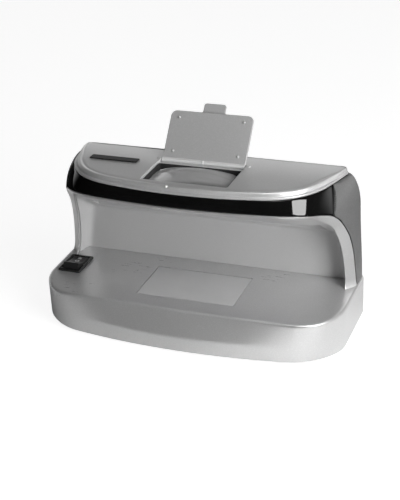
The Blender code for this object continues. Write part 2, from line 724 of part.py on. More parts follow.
# ------------------------------------------------------------------ lens
def rounded(u, v, half_x, half_y, radius):
    """Map the square (-1..1)^2 onto a rounded rectangle."""
    x, y = u * half_x, v * half_y
    flat_x, flat_y = half_x - radius, half_y - radius
    if abs(x) > flat_x and abs(y) > flat_y:
        dx, dy = (abs(x) - flat_x) / radius, (abs(y) - flat_y) / radius
        larger, length = max(dx, dy), math.hypot(dx, dy)
        x = math.copysign(flat_x + dx * larger / length * radius, x)
        y = math.copysign(flat_y + dy * larger / length * radius, y)
    return x, y


def build_lens():
    """Crowned top over a flat underside, each a grid, with a wall round the rim."""
    middle_y, half_y = (LENS_Y0 + LENS_Y1) / 2, (LENS_Y1 - LENS_Y0) / 2
    outline = [rounded(2 * i / LENS_NX - 1, 2 * j / LENS_NY - 1, LENS_HALF, half_y,
                       LENS_CORNER_R)
               for j in range(LENS_NY + 1) for i in range(LENS_NX + 1)]
    verts = [point(x, middle_y + y,
                   LENS_TOP - x * x / (2 * LENS_RX) - y * y / (2 * LENS_RY))
             for x, y in outline]
    verts += [point(x, middle_y + y, LENS_FLAT) for x, y in outline]
    row, under = LENS_NX + 1, len(outline)
    faces = []
    for first in (0, under):
        for j in range(LENS_NY):
            for i in range(LENS_NX):
                a = first + j * row + i
                faces.append((a, a + 1, a + row + 1, a + row))
    rim = (list(range(LENS_NX)) + [j * row + LENS_NX for j in range(LENS_NY)]
           + [LENS_NY * row + i for i in range(LENS_NX, 0, -1)]
           + [j * row for j in range(LENS_NY, 0, -1)])
    for a, b in zip(rim, rim[1:] + rim[:1]):
        faces.append((a, b, b + under, a + under))
    from_faces("magnifier_lens", verts, faces, CLEAR, angle=40)


build_lens()

retainer = box("lens_retainer", x=(-32.2, 32.2), y=(26.6, 59.4), z=(86.9, 88.6),
               mat=BLACK, bevel=0.3)
cut(retainer,
    box("retainer_window", x=(-24.4, 24.4), y=(30.6, 54.8), z=(85.0, 91.0)),
    rods("retainer_bores", at_height(COVER_SCREWS, 85.0), Z_AXIS, COVER_BORE_R, 6.0, 12))
for number, origin in enumerate(at_height(COVER_SCREWS, 85.7), 1):
    screw(f"retainer_screw_{number}", origin, Z_AXIS, face_r=1.5, head_r=1.9, chamfer=0.25,
          head=0.9, shank_r=0.9, shank_end=7.2, tip=7.8, segments=12)

# ------------------------------------------------------------------ lid
# Modelled closed. Plan outlines are relative to the axis: x to the right, y forward.
LID_BUMPS = four_places(20.6, 6.0, 20.6, 27.3)
BUMP_PROFILE = [(0, 0), (0.9, 0), (0.9, 0.8), (0.55, 1.15), (0, 1.3)]


def lid_outline():
    right = [(LID_HALF, 0.0)] + arc(LID_HALF - LID_CORNER_R, LID_LEN - LID_CORNER_R,
                                    LID_CORNER_R, 5)
    return right + mirrored(right)


def tab_outline():
    """The finger tab springs from the lid's front edge, one step higher."""
    right = [(TAB_HALF + 1.1, LID_LEN - 1.2), (TAB_HALF + 1.1, LID_LEN - 0.3),
             (TAB_HALF + 0.2, LID_LEN + 0.8)]
    right += arc(TAB_HALF - 1.9, LID_LEN + TAB_LEN - TAB_R, TAB_R, 3)
    return right + mirrored(right)


def riser_outline():
    """Step between the lid and its tab."""
    right = [(TAB_HALF + 1.9, LID_LEN - 1.6), (TAB_HALF + 1.4, LID_LEN - 0.05)]
    return right + mirrored(right)


def lid_slab(name, outline, low, high, mat=None):
    return loft(name, [[point(x, LID_AXIS_Y - y, LID_AXIS_Z + height) for x, y in outline]
                       for height in (low, high)], mat)


def build_lid():
    lid = lid_slab("magnifier_lid", lid_outline(), LID_LOW, LID_TOP, LID_GREY)
    additions = [
        cross_rod("lid_barrel", LID_AXIS, LID_HALF, LID_BARREL_R, segments=16),
        lid_slab("lid_riser", riser_outline(), LID_TOP - 0.6, LID_TOP + TAB_STEP),
        lid_slab("lid_tab", tab_outline(), LID_TOP + 0.4, LID_TOP + TAB_STEP),
        merged("lid_bumps", [lathe("part", (x, LID_AXIS_Y - y, LID_AXIS_Z + 0.4), (0, 0, -1),
                                   BUMP_PROFILE, segments=10) for x, y in LID_BUMPS]),
    ]
    join(lid, *additions)
    bore = cross_rod("lid_bore", LID_AXIS, LID_HALF + 1, LID_BORE_R)
    cut(lid, bore)
    # the lid and its helper shapes hang on an empty that stands on the hinge axis
    axis_point = point(*LID_AXIS)
    parts = [lid, *additions, bore]
    for part in parts:
        part.data.transform(Matrix.Translation(-axis_point))
    hang_on_pivot("lid_pivot", axis_point, -LID_OPEN, parts)


build_lid()
cross_rod("lid_hinge_pin", LID_AXIS, LID_PIN_HALF, LID_PIN_R, STEEL)

# ------------------------------------------------------------------ rocker switch
SWITCH_PIVOT = (SWITCH_X, SWITCH_Y, SWITCH_PIVOT_Z)
# Section (y, z) of the rocker about its pivot.
ROCKER_SECTION = [(-7.7, -2.6), (-6.6, -3.4), (6.6, -3.4), (7.7, -2.6), (7.7, 2.6), (7.1, 3.0),
                  (3.4, 2.05), (0.0, 1.75), (-3.4, 2.05), (-7.1, 3.0), (-7.7, 2.6)]

housing = box("switch_housing", x=about(SWITCH_X, 7.5), y=about(SWITCH_Y, 10.5),
              z=(TRAY_Z + GAP, 27.9), mat=BLACK, bevel=0.4)
join(housing, box("switch_body", x=about(SWITCH_X, 6.4), y=about(SWITCH_Y, 9.4),
                  z=(SWITCH_BODY_Z0, 27.0)))
cut(housing,
    box("switch_well", x=about(SWITCH_X, 5.5), y=about(SWITCH_Y, 8.6), z=(18.0, 30.0)),
    cross_rod("switch_pin_bore", SWITCH_PIVOT, 6.1, 1.1))

# The rocker is modelled about the scene origin, which its pivot carries into place.
rocker = prism_x("switch_rocker", [(y + Y_MID, z) for y, z in ROCKER_SECTION], -5.15, 5.15,
                 ROCKER_BLACK)
rocker_bore = cross_rod("rocker_bore", (0, Y_MID, 0.0), 6.0, 1.15)
cut(rocker, rocker_bore)
hang_on_pivot("rocker_pivot", point(*SWITCH_PIVOT), -SWITCH_TILT, (rocker, rocker_bore))
cross_rod("switch_pivot_pin", SWITCH_PIVOT, 5.9, 0.75, STEEL)
for number, offset in enumerate((-6.0, 0.0, 6.0), 1):
    box(f"switch_terminal_{number}", x=about(SWITCH_X, 2.4), y=about(SWITCH_Y + offset, 0.4),
        z=(5.4, SWITCH_BODY_Z0 - GAP), mat=BRASS)

# ------------------------------------------------------------------ ultraviolet lamp
lathe("uv_lamp_tube", (-TUBE_HALF, TUBE_Y, TUBE_Z), X_AXIS,
      [(TUBE_R - 0.9, 0), (TUBE_R, 0), (TUBE_R, 2 * TUBE_HALF), (TUBE_R - 0.9, 2 * TUBE_HALF)],
      TUBE)
for side, tag in ((-1, "left"), (1, "right")):
    cap = lathe(f"lamp_cap_{tag}", (side * (TUBE_HALF + GAP), TUBE_Y, TUBE_Z), (side, 0, 0),
                [(0, 0), (TUBE_R, 0), (TUBE_R, 7.2), (TUBE_R - 0.8, 8.0), (0, 8.0)], ALUMINIUM)
    join(cap, rods(f"lamp_pins_{tag}", [(side * 67.0, y, TUBE_Z) for y in about(TUBE_Y, 2.5)],
                   (side, 0, 0), 1.1, 6.0, 10))
    holder = box(f"lamp_holder_{tag}", x=outward(side, 69.2, 76.5), y=about(TUBE_Y, 7.2),
                 z=(TUBE_Z - 2.6, TUBE_Z + 9.5), mat=WHITE, bevel=0.5)
    cut(holder, box(f"holder_slot_{tag}", x=outward(side, 68.5, 74.5), y=about(TUBE_Y, 4.4),
                    z=about(TUBE_Z, 1.6)))
reflector_outer, reflector_inner = [
    arc(TUBE_Y, TUBE_Z, radius, REFLECTOR_STEPS, REFLECTOR_START, REFLECTOR_SWEEP)
    for radius in (REFLECTOR_R1, REFLECTOR_R0)]
prism_x("lamp_reflector", reflector_outer + reflector_inner[::-1],
        -REFLECTOR_HALF, REFLECTOR_HALF, ALUMINIUM)


# ------------------------------------------------------------------ watermark back-light
def rectangle(half_x, y0, y1, z):
    return [point(x, y, z) for x, y in ((-half_x, y0), (half_x, y0), (half_x, y1), (-half_x, y1))]


# A raised pane on a wider flange.
FLANGE = dict(half_x=33.5, y0=17.6, y1=58.4)
PANE = dict(half_x=30.65, y0=20.35, y1=55.65)
FLANGE_TOP = 23.05
loft("backlight_window", [
    rectangle(**FLANGE, z=BACKLIGHT_TOP + GAP),
    rectangle(**FLANGE, z=FLANGE_TOP),
    rectangle(**PANE, z=FLANGE_TOP),
    rectangle(**PANE, z=25.95),
], FROST)
lightbox = box("backlight_box", x=(-35, 35), y=(16.0, 60.0), z=(7.6, BACKLIGHT_TOP),
               mat=WHITE, bevel=0.4)
cut(lightbox, box("backlight_well", x=(-33.6, 33.6), y=(17.4, 58.6), z=(BACKLIGHT_FLOOR, 24)))
box("backlight_board", x=(-30, 30), y=(22, 54), z=(BACKLIGHT_FLOOR + GAP, BACKLIGHT_BOARD_TOP),
    mat=BOARD)
led_places = at_height(four_places(17, 30, 17, 46), BACKLIGHT_BOARD_TOP + GAP)
for number, origin in enumerate(led_places, 1):
    lathe(f"backlight_led_{number}", origin, Z_AXIS,
          [(0, 0), (2.9, 0), (2.9, 0.9), (2.5, 0.9), (2.5, 3.2), (1.8, 4.8), (0, 5.6)], LED, 14)

# ------------------------------------------------------------------ lamp ballast and power
BALLAST_PART_Z = BALLAST_BOARD_TOP + GAP
box("ballast_board", x=(42, 87), y=(33, 67), z=(7.6, BALLAST_BOARD_TOP), mat=BOARD)
box("ballast_transformer", x=(46, 62), y=(46, 62), z=(BALLAST_PART_Z, 21.5), mat=FERRITE,
    bevel=0.6)
lathe("ballast_choke", (70.5, 55, BALLAST_PART_Z), Z_AXIS,
      [(0, 0), (4.6, 0), (4.6, 1.2), (3.4, 1.2), (3.4, 8.4), (4.6, 8.4), (4.6, 9.6), (0, 9.6)],
      TAPE, 18)
lathe("ballast_capacitor", (52, 39.5, BALLAST_PART_Z), Z_AXIS,
      [(0, 0), (4.6, 0), (5.0, 0.4), (5.0, 1.6), (4.7, 2.0), (5.0, 2.4), (5.0, 11.6),
       (4.5, 12.0), (0, 12.0)], SLEEVE, 20)
lathe("dc_jack", (JACK_X, 83.3, JACK_Z), (0, -1, 0),
      [(0, 1.6), (0.95, 2.0), (0.95, 9.0), (2.8, 9.0), (2.8, 0.0), (3.8, 0.0), (3.8, 3.4),
       (5.4, 3.4), (5.4, 12.5), (0, 12.5)], BLACK, 20)

# ------------------------------------------------------------------ leads
wire("lamp_lead_left", [
    (-77.6, 63, 79), (-79.5, 70, 77), (-75, 76.3, 70), (-40, 77, 63), (20, 77, 62),
    (56, 77, 54), (71, 77, 42), (71, 77.2, 30), (71, 77.2, 20), (71, 73.5, 15.5),
    (71, 70, 14)], WIRE_RED)
wire("lamp_lead_right", [
    (77.6, 63, 79), (79.5, 70, 77), (77, 76.3, 66), (75, 77, 50), (75, 77.2, 32),
    (75, 77.2, 20), (75, 73.5, 15.5), (75, 70, 14)], WIRE_RED)
wire("switch_lead", [
    (-78.0, 50, 7.4), (-66, 62.5, 7.0), (-30, 64.5, 6.6), (10, 64.5, 6.6), (32, 65, 7.6),
    (38.5, 62, 9.6)], WIRE_BLACK)
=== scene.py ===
"""Desk-top counterfeit bill detector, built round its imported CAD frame.

It stands on z = 0 with its front towards -y and its right side towards +x. Shapes repeat the
CAD's own curves at a finer step, with the roundings, crowns and fillets that the CAD solids
leave out. Sizes are in millimetres, with y = 0 near the front of the base, until point().
"""
import json
import math

import bpy
import bmesh
import numpy as np
from mathutils import Matrix, Vector


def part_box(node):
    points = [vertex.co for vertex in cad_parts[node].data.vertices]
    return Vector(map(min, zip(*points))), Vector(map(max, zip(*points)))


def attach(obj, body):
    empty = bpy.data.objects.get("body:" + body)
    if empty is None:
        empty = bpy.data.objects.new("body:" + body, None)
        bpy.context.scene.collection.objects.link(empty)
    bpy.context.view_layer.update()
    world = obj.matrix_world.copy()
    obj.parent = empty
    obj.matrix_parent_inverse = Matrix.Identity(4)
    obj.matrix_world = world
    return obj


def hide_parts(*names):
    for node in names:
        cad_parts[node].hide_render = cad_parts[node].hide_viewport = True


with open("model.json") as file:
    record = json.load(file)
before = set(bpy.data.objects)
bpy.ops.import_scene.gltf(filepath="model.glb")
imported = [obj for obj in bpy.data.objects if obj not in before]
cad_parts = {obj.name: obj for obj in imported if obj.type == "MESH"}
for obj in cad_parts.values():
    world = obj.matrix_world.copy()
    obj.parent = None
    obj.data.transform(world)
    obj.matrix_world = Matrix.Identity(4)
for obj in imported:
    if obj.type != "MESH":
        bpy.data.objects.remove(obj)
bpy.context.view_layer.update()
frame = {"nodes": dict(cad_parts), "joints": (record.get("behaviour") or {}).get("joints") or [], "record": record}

MM = 0.001
Y_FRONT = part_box("base_shell")[0].y / MM - 0.4     # the drawing's y = 0 in the row frame
JOINT = {j["name"]: j for j in frame["joints"]}
SLOTS = {s["node"]: s["material_slot"] for s in frame["record"]["subparts"]}


def point(x, y, z):
    """Drawing millimetres to metres in the row frame."""
    return Vector((x * MM, (y + Y_FRONT) * MM, z * MM))


def drawn(place):
    """Metres in the row frame to drawing millimetres."""
    return place.x / MM, place.y / MM - Y_FRONT, place.z / MM


# ------------------------------------------------------------------ driving dimensions
BASE_Z0, BASE_CREASE, TRAY_Z, BASE_WALL = 2.0, 11.2, 26.0, 2.4
REAR_Y, REAR_R, BACK_WALL_Y = 83.5, 9.0, 70.0
HEAD_Z, COVER_Z, COVER_UNDER, SHOULDER_Z, SHELL_WALL = 94.0, 97.4, 94.9, 73.0, 2.2
ROLL_Y, ROLL_DROP = 44.0, 2.7                       # the head's top falls behind ROLL_Y
COVER_REAR_Y, COVER_REAR_R = 81.2, 4.2
OPEN_HALF, OPEN_Y0, OPEN_Y1, OPEN_R = 26.65, 28.8, 65.1, 1.3     # opening in the cover
BASE_SCREWS = {"fl": (-79, 27), "fr": (79, 27), "rl": (-82, 75), "rr": (82, 75)}     # x, y
REAR_SCREWS = {"left": (-62.0, 36.0), "right": (62.0, 36.0)}                         # x, z
SCREW_BOSS_R, SCREW_BORE_R = 3.6, 1.75

LID_AXIS = Vector(JOINT["lid_hinge"]["pos_m"])
LID_OPEN = JOINT["lid_hinge"]["range_deg"][1]
_, LID_AXIS_Y, LID_AXIS_Z = drawn(LID_AXIS)
LID_HALF, LID_LEN, LID_LOW, LID_TOP, LID_CORNER_R = 26.2, 31.6, -0.2, 1.3, 3.6
LID_BARREL_R, LID_BORE_R = 1.4, 0.82
TAB_HALF, TAB_LEN, TAB_STEP, EAR_R = 7.3, 6.5, 1.6, 1.5
EAR_X, EAR_W = 26.7, 2.7                            # inner face and width of the hinge ears

ROCKER_AXIS = Vector(JOINT["rocker_pivot"]["pos_m"])
ROCKER_TILT = JOINT["rocker_pivot"]["range_deg"][1] / 2
SWITCH_X, SWITCH_Y, PIVOT_Z = drawn(ROCKER_AXIS)

# Front frame from its right foot to the middle of the head: inner edge (x, y, z), outer edge
# (x, y, z), turn of its depth from +y towards -x in degrees, back wall (x, z).
FRAME = [
    ((87.9, 58.0, 26.3), (93.6, 64.2, 26.3), 40, (86.0, 26.3)),
    ((87.6, 59.1, 30.0), (93.0, 64.8, 30.0), 40, (85.4, 29.5)),
    ((86.9, 59.6, 39.0), (92.3, 64.6, 39.5), 40, (84.0, 37.0)),
    ((86.1, 59.0, 47.0), (91.5, 63.7, 48.5), 40, (82.8, 43.5)),
    ((85.2, 57.6, 54.0), (90.2, 60.5, 59.0), 40, (81.8, 48.5)),
    ((84.4, 55.7, 59.4), (89.3, 57.8, 64.0), 41, (81.1, 52.0)),
    ((83.5, 53.3, 64.0), (88.2, 54.3, 69.0), 43, (80.5, 54.8)),
    ((82.5, 50.8, 68.6), (87.0, 49.6, 74.3), 48, (79.5, 56.6)),
    ((80.6, 46.5, 72.7), (84.2, 44.5, 79.0), 54, (77.5, 57.0)),
    ((76.0, 38.0, 78.6), (80.0, 38.4, 81.6), 53, (73.0, 57.0)),
    ((70.5, 30.2, 81.8), (75.0, 31.8, 83.4), 48, (67.5, 57.0)),
    ((63.0, 25.2, 83.2), (67.5, 26.2, 84.8), 36, (60.5, 57.0)),
    ((52.5, 22.5, 84.0), (56.0, 21.8, 85.7), 20, (50.5, 57.0)),
    ((37.5, 20.4, 84.5), (39.0, 19.1, 86.0), 9, (36.5, 57.0)),
    ((19.0, 19.0, 84.7), (19.5, 17.6, 86.0), 4, (18.5, 57.0)),
    ((0.0, 18.4, 84.8), (0.0, 17.0, 86.0), 0, (0.0, 57.0)),
]
CORNER_STATION = 8                  # where the gloss band starts along the frame
# Front and right side of the cover's lip in plan: x, y.
COVER_PLAN = [(0, 18.5), (20, 19.3), (40, 21.8), (55, 25.2), (66, 31.2), (73, 38.2),
              (78.4, 47.5), (81.2, 57.5), (83.2, 67.0), (84.4, 75.5)]
SEAM_TOP = np.array((81.35, 56.0, HEAD_Z))          # top of the joint of band and shell
MIRROR_X = np.array((-1, 1, 1))


# ------------------------------------------------------------------ curves
def roll(y):
    """How far the head's top has fallen at y."""
    return ROLL_DROP * max(0.0, (y - ROLL_Y) / (COVER_REAR_Y - ROLL_Y)) ** 2


def smooth(value, low, high):
    s = min(1.0, max(0.0, (value - low) / (high - low)))
    return s * s * (3 - 2 * s)


def quadratic(start, middle, end, t):
    """Point at t on a quadratic Bezier curve."""
    return (1 - t) ** 2 * start + 2 * t * (1 - t) * middle + t * t * end


def spline(stations, per_span):
    """Smooth curve through the stations, spaced by their first three columns."""
    knots = [0.0]
    for a, b in zip(stations, stations[1:]):
        knots.append(knots[-1] + math.sqrt(sum((q - p) ** 2 for p, q in zip(a[:3], b[:3]))))
    rows = np.array(stations, float)
    last = len(rows) - 1
    slopes = []
    for i in range(last + 1):
        before, after = max(i - 1, 0), min(i + 1, last)
        slopes.append((rows[after] - rows[before]) / (knots[after] - knots[before]))
    out = []
    for i in range(last):
        gap = knots[i + 1] - knots[i]
        for j in range(per_span):
            s = j / per_span
            out.append((2 * s**3 - 3 * s**2 + 1) * rows[i]
                       + (s**3 - 2 * s**2 + s) * gap * slopes[i]
                       + (-2 * s**3 + 3 * s**2) * rows[i + 1]
                       + (s**3 - s**2) * gap * slopes[i + 1])
    out.append(rows[-1])
    return np.array(out)


def lengths(path):
    steps = np.linalg.norm(np.diff(path, axis=0), axis=1)
    return np.concatenate([[0.0], np.cumsum(steps)])


def resample(rows, step, cols):
    """Rows again, at an even step along the path held in the given columns."""
    along = lengths(rows[:, cols])
    count = max(2, int(round(along[-1] / step)) + 1)
    even = np.linspace(0.0, along[-1], count)
    return np.stack([np.interp(even, along, rows[:, k]) for k in range(rows.shape[1])], 1)


def relax(rows, times):
    """Even out the curvature along an open path; its ends stay."""
    rows = rows.copy()
    for _ in range(times):
        rows[1:-1] = 0.25 * rows[:-2] + 0.5 * rows[1:-1] + 0.25 * rows[2:]
    return rows


def relax_closed(rows, times):
    for _ in range(times):
        rows = 0.25 * np.roll(rows, 1, 0) + 0.5 * rows + 0.25 * np.roll(rows, -1, 0)
    return rows


def at_length(path, share):
    along = lengths(path)
    return np.array([np.interp(share * along[-1], along, path[:, k])
                     for k in range(path.shape[1])])


def unit(vector):
    return vector / np.linalg.norm(vector)


def corner_curve(before, corner, after, size, steps, pull=0.5):
    """Points that round off a corner. The pull towards the corner is 0.5 for a plain
    parabola and 0.42 for a curve closer to a circle."""
    corner = np.array(corner, float)
    back, ahead = np.array(before, float) - corner, np.array(after, float) - corner
    back_len, ahead_len = np.linalg.norm(back), np.linalg.norm(ahead)
    start = corner + back / back_len * min(size, back_len * 0.45)
    end = corner + ahead / ahead_len * min(size, ahead_len * 0.45)
    middle = corner * pull * 2 + (start + end) * (0.5 - pull)
    return [quadratic(start, middle, end, j / steps) for j in range(steps + 1)]


def soft_profile(points, size):
    """Profile of (radius, height) pairs with its inner corners rounded."""
    out = [points[0]]
    for before, corner, after in zip(points, points[1:], points[2:]):
        out += corner_curve(before, corner, after, size, 3)
    return out + [points[-1]]


def pin_profile(radius, side, rise):
    """Profile of a short domed pin."""
    dome = [(radius * math.cos(t), side + rise * math.sin(t))
            for t in (0.0, 0.3, 0.6, 0.9, 1.2, 1.4)]
    return [(0, 0), (radius, 0)] + dome + [(0, 1.3)]


# ------------------------------------------------------------------ plan outlines
def quarter(cx, cy, radius, steps):
    """Quarter circle from +x round to +y."""
    angles = [math.pi / 2 * i / steps for i in range(steps + 1)]
    return [(cx + radius * math.cos(t), cy + radius * math.sin(t)) for t in angles]


def rounded_rect(half_x, half_y, radius, steps=8, cx=0.0, cy=0.0):
    out = []
    for side_x, side_y, start in ((1, 1, 0), (-1, 1, 90), (-1, -1, 180), (1, -1, 270)):
        for i in range(steps + 1):
            t = math.radians(start + 90 * i / steps)
            out.append((cx + side_x * (half_x - radius) + radius * math.cos(t),
                        cy + side_y * (half_y - radius) + radius * math.sin(t)))
    return np.array(out)


def normals(plan):
    """Inward normals of an anticlockwise plan outline."""
    along = np.roll(plan, -1, 0) - np.roll(plan, 1, 0)
    along /= np.maximum(np.linalg.norm(along, axis=1, keepdims=True), 1e-9)
    return np.c_[-along[:, 1], along[:, 0]]


def inset(plan, distance):
    return plan + normals(plan) * distance


def level(plan, z):
    """Plan outline at a height."""
    return np.c_[plan, np.full(len(plan), z)]


def rolled(plan, z):
    """Plan outline at a height that falls with the head's top."""
    return np.c_[plan, [z - roll(y) for y in plan[:, 1]]]


def rect_ring(half_x, y0, y1, radius, z, steps=6):
    return level(rounded_rect(half_x, (y1 - y0) / 2, radius, steps, 0.0, (y0 + y1) / 2), z)


# ------------------------------------------------------------------ meshes
def ring_faces(first, second):
    """Quads between two closed rings of vertices or indices."""
    count = max(len(first), len(second))
    return [(first[j], first[(j + 1) % count], second[(j + 1) % count], second[j])
            for j in range(count)]


def link(name, mesh):
    ob = bpy.data.objects.new(name, mesh)
    bpy.context.scene.collection.objects.link(ob)
    return ob


def finish_mesh(name, bm, angle=35.0):
    bmesh.ops.recalc_face_normals(bm, faces=bm.faces)
    mesh = bpy.data.meshes.new(name)
    bm.to_mesh(mesh)
    bm.free()
    ob = link(name, mesh)
    mesh.shade_smooth()
    mesh.set_sharp_from_angle(angle=math.radians(angle))
    return ob


def make(name, verts, faces, angle):
    """A closed mesh from points in millimetres."""
    bm = bmesh.new()
    made = [bm.verts.new(point(*v)) for v in verts]
    for face in faces:
        bm.faces.new([made[i] for i in face])
    return finish_mesh(name, bm, angle)


def loft(rings, name="tool", closed_path=False, angle=35.0):
    rings = [np.asarray(r, float) for r in rings]
    size, count = len(rings[0]), len(rings)
    index = [range(i * size, (i + 1) * size) for i in range(count)]
    faces = []
    for i in range(count if closed_path else count - 1):
        faces += ring_faces(index[i], index[(i + 1) % count])
    if not closed_path:
        faces += [list(index[0]), list(reversed(index[-1]))]
    return make(name, np.concatenate(rings), faces, angle)


def lathe(origin, axis, profile, seg=48, name="tool"):
    """Turn a profile of (radius, height) pairs round an axis."""
    axis = Vector(axis).normalized()
    u = axis.orthogonal().normalized()
    w = axis.cross(u)
    start = point(*origin)
    bm = bmesh.new()
    rows = []
    for r, h in profile:
        if r == 0:
            rows.append([bm.verts.new(start + axis * h * MM)])
        else:
            rows.append([bm.verts.new(start + axis * h * MM
                                      + (u * math.cos(t) + w * math.sin(t)) * r * MM)
                         for t in [2 * math.pi * i / seg for i in range(seg)]])
    pairs = list(zip(rows[:-1], rows[1:]))
    if profile[0][0] != 0:
        pairs.append((rows[-1], rows[0]))
    for a, b in pairs:
        for j in range(seg):
            k = (j + 1) % seg
            if len(a) == 1:
                bm.faces.new((a[0], b[j], b[k]))
            elif len(b) == 1:
                bm.faces.new((a[j], a[k], b[0]))
            else:
                bm.faces.new((a[j], a[k], b[k], b[j]))
    return finish_mesh(name, bm)


def rod(origin, axis, radius, length, seg=32, edge=0.0):
    profile = [(0, 0), (radius, 0), (radius, length), (0, length)]
    return lathe(origin, axis, soft_profile(profile, edge) if edge else profile, seg)


def slab(plan, z0, z1, radius, seg=4, name="tool"):
    """A plate with rounded edges from an anticlockwise plan outline."""
    angles = [math.pi / 2 * i / seg for i in range(seg + 1)]
    edge = [(radius * (1 - math.sin(a)), radius * (1 - math.cos(a))) for a in angles]
    cap = radius * 1.6 + 0.1
    steps = ([(cap, z0)] + [(d, z0 + h) for d, h in edge]
             + [(d, z1 - h) for d, h in reversed(edge)] + [(cap, z1)])
    return loft([level(inset(plan, d), z) for d, z in steps], name)


def box(x, y, z, edge=0.0, name="tool"):
    """Box from its (low, high) range on each axis."""
    bm = bmesh.new()
    bmesh.ops.create_cube(bm, size=1.0)
    low, high = [point(*corner) for corner in zip(x, y, z)]
    for v in bm.verts:
        for k in range(3):
            v.co[k] = low[k] if v.co[k] < 0 else high[k]
    if edge:
        bmesh.ops.bevel(bm, geom=list(bm.edges), offset=edge * MM, segments=3,
                        profile=0.5, affect='EDGES')
    return finish_mesh(name, bm)


def discard(ob):
    mesh = ob.data
    bpy.data.objects.remove(ob, do_unlink=True)
    bpy.data.meshes.remove(mesh)


def merged(parts):
    """The parts as one object, without a boolean."""
    bm = bmesh.new()
    for ob in parts:
        bm.from_mesh(ob.data)
        discard(ob)
    mesh = bpy.data.meshes.new("tools")
    bm.to_mesh(mesh)
    bm.free()
    return link("tools", mesh)


def combine(ob, add=(), cut=(), angle=35.0):
    """Add and then cut the other objects at once, and remove them."""
    steps = [('UNION', o) for o in add] + [('DIFFERENCE', o) for o in cut]
    for i, (operation, other) in enumerate(steps):
        m = ob.modifiers.new(f"b{i}", 'BOOLEAN')
        m.object, m.operation, m.solver = other, operation, 'EXACT'
    bpy.context.view_layer.update()
    graph = bpy.context.evaluated_depsgraph_get()
    mesh = bpy.data.meshes.new_from_object(ob.evaluated_get(graph), depsgraph=graph)
    ob.modifiers.clear()
    old = ob.data
    ob.data = mesh
    bpy.data.meshes.remove(old)
    for _, other in steps:
        discard(other)
    bm = bmesh.new()
    bm.from_mesh(mesh)
    bmesh.ops.remove_doubles(bm, verts=bm.verts, dist=2e-6)
    bmesh.ops.dissolve_degenerate(bm, dist=2e-6, edges=bm.edges)
    loose = [v for v in bm.verts if not v.link_faces]
    bmesh.ops.delete(bm, geom=loose, context='VERTS')
    bm.to_mesh(mesh)
    bm.free()
    mesh.shade_smooth()
    mesh.set_sharp_from_angle(angle=math.radians(angle))


def turn_back(ob, centre, degrees):
    """Turn a mesh about the line along x through the centre, its front rising."""
    ob.data.transform(Matrix.Translation(centre)
                      @ Matrix.Rotation(-math.radians(degrees), 4, 'X')
                      @ Matrix.Translation(-centre))


def place(ob, finish, node=None, body="housing", slot="black_plastic"):
    """Give a finished piece its finish and its body, and hide the CAD node it stands for.
    The slot is not used."""
    ob.data.materials.clear()
    ob.data.materials.append(finish)
    m = ob.modifiers.new("weighted", 'WEIGHTED_NORMAL')
    m.keep_sharp = True
    m.weight = 60
    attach(ob, body)
    if node:
        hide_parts(node)


# ------------------------------------------------------------------ node trees
class Nodes:
    """An emptied node tree, with short ways to add nodes."""

    def __init__(self, tree):
        self.tree = tree
        tree.nodes.clear()

    def put(self, socket, value):
        """Link or set an input; None leaves it alone and a colour may be rgb."""
        if isinstance(value, bpy.types.NodeSocket):
            self.tree.links.new(value, socket)
        elif value is not None:
            if socket.type == 'RGBA' and len(value) == 3:
                value = (*value, 1.0)
            socket.default_value = value

    def add(self, kind, inputs=None, **settings):
        node = self.tree.nodes.new('ShaderNode' + kind)
        for key, value in settings.items():
            setattr(node, key, value)
        for key, value in (inputs or {}).items():
            self.put(node.inputs[key], value)
        return node

    def node(self, kind, inputs=None, output=0, **settings):
        """Add a node and return one of its outputs."""
        return self.add(kind, inputs, **settings).outputs[output]

    def span(self, value, low, high, to_low, to_high, **settings):
        """Map low..high to to_low..to_high, held at the ends."""
        return self.node('MapRange', {'Value': value, 'From Min': low, 'From Max': high,
                                      'To Min': to_low, 'To Max': to_high}, **settings)

    def rise(self, value, low, high):
        return self.span(value, low, high, 0.0, 1.0)

    def fall(self, value, low, high):
        return self.span(value, low, high, 1.0, 0.0)

    def math(self, operation, a, b=0.0):
        return self.node('Math', {0: a, 1: b}, operation=operation)

    def plus(self, a, b):
        return self.math('ADD', a, b)

    def minus(self, a, b):
        return self.math('SUBTRACT', a, b)

    def times(self, a, b):
        return self.math('MULTIPLY', a, b)


def tone(rgb, factor):
    return tuple(min(1.0, c * factor) for c in rgb)


def grey(value):
    return (value, value, value)


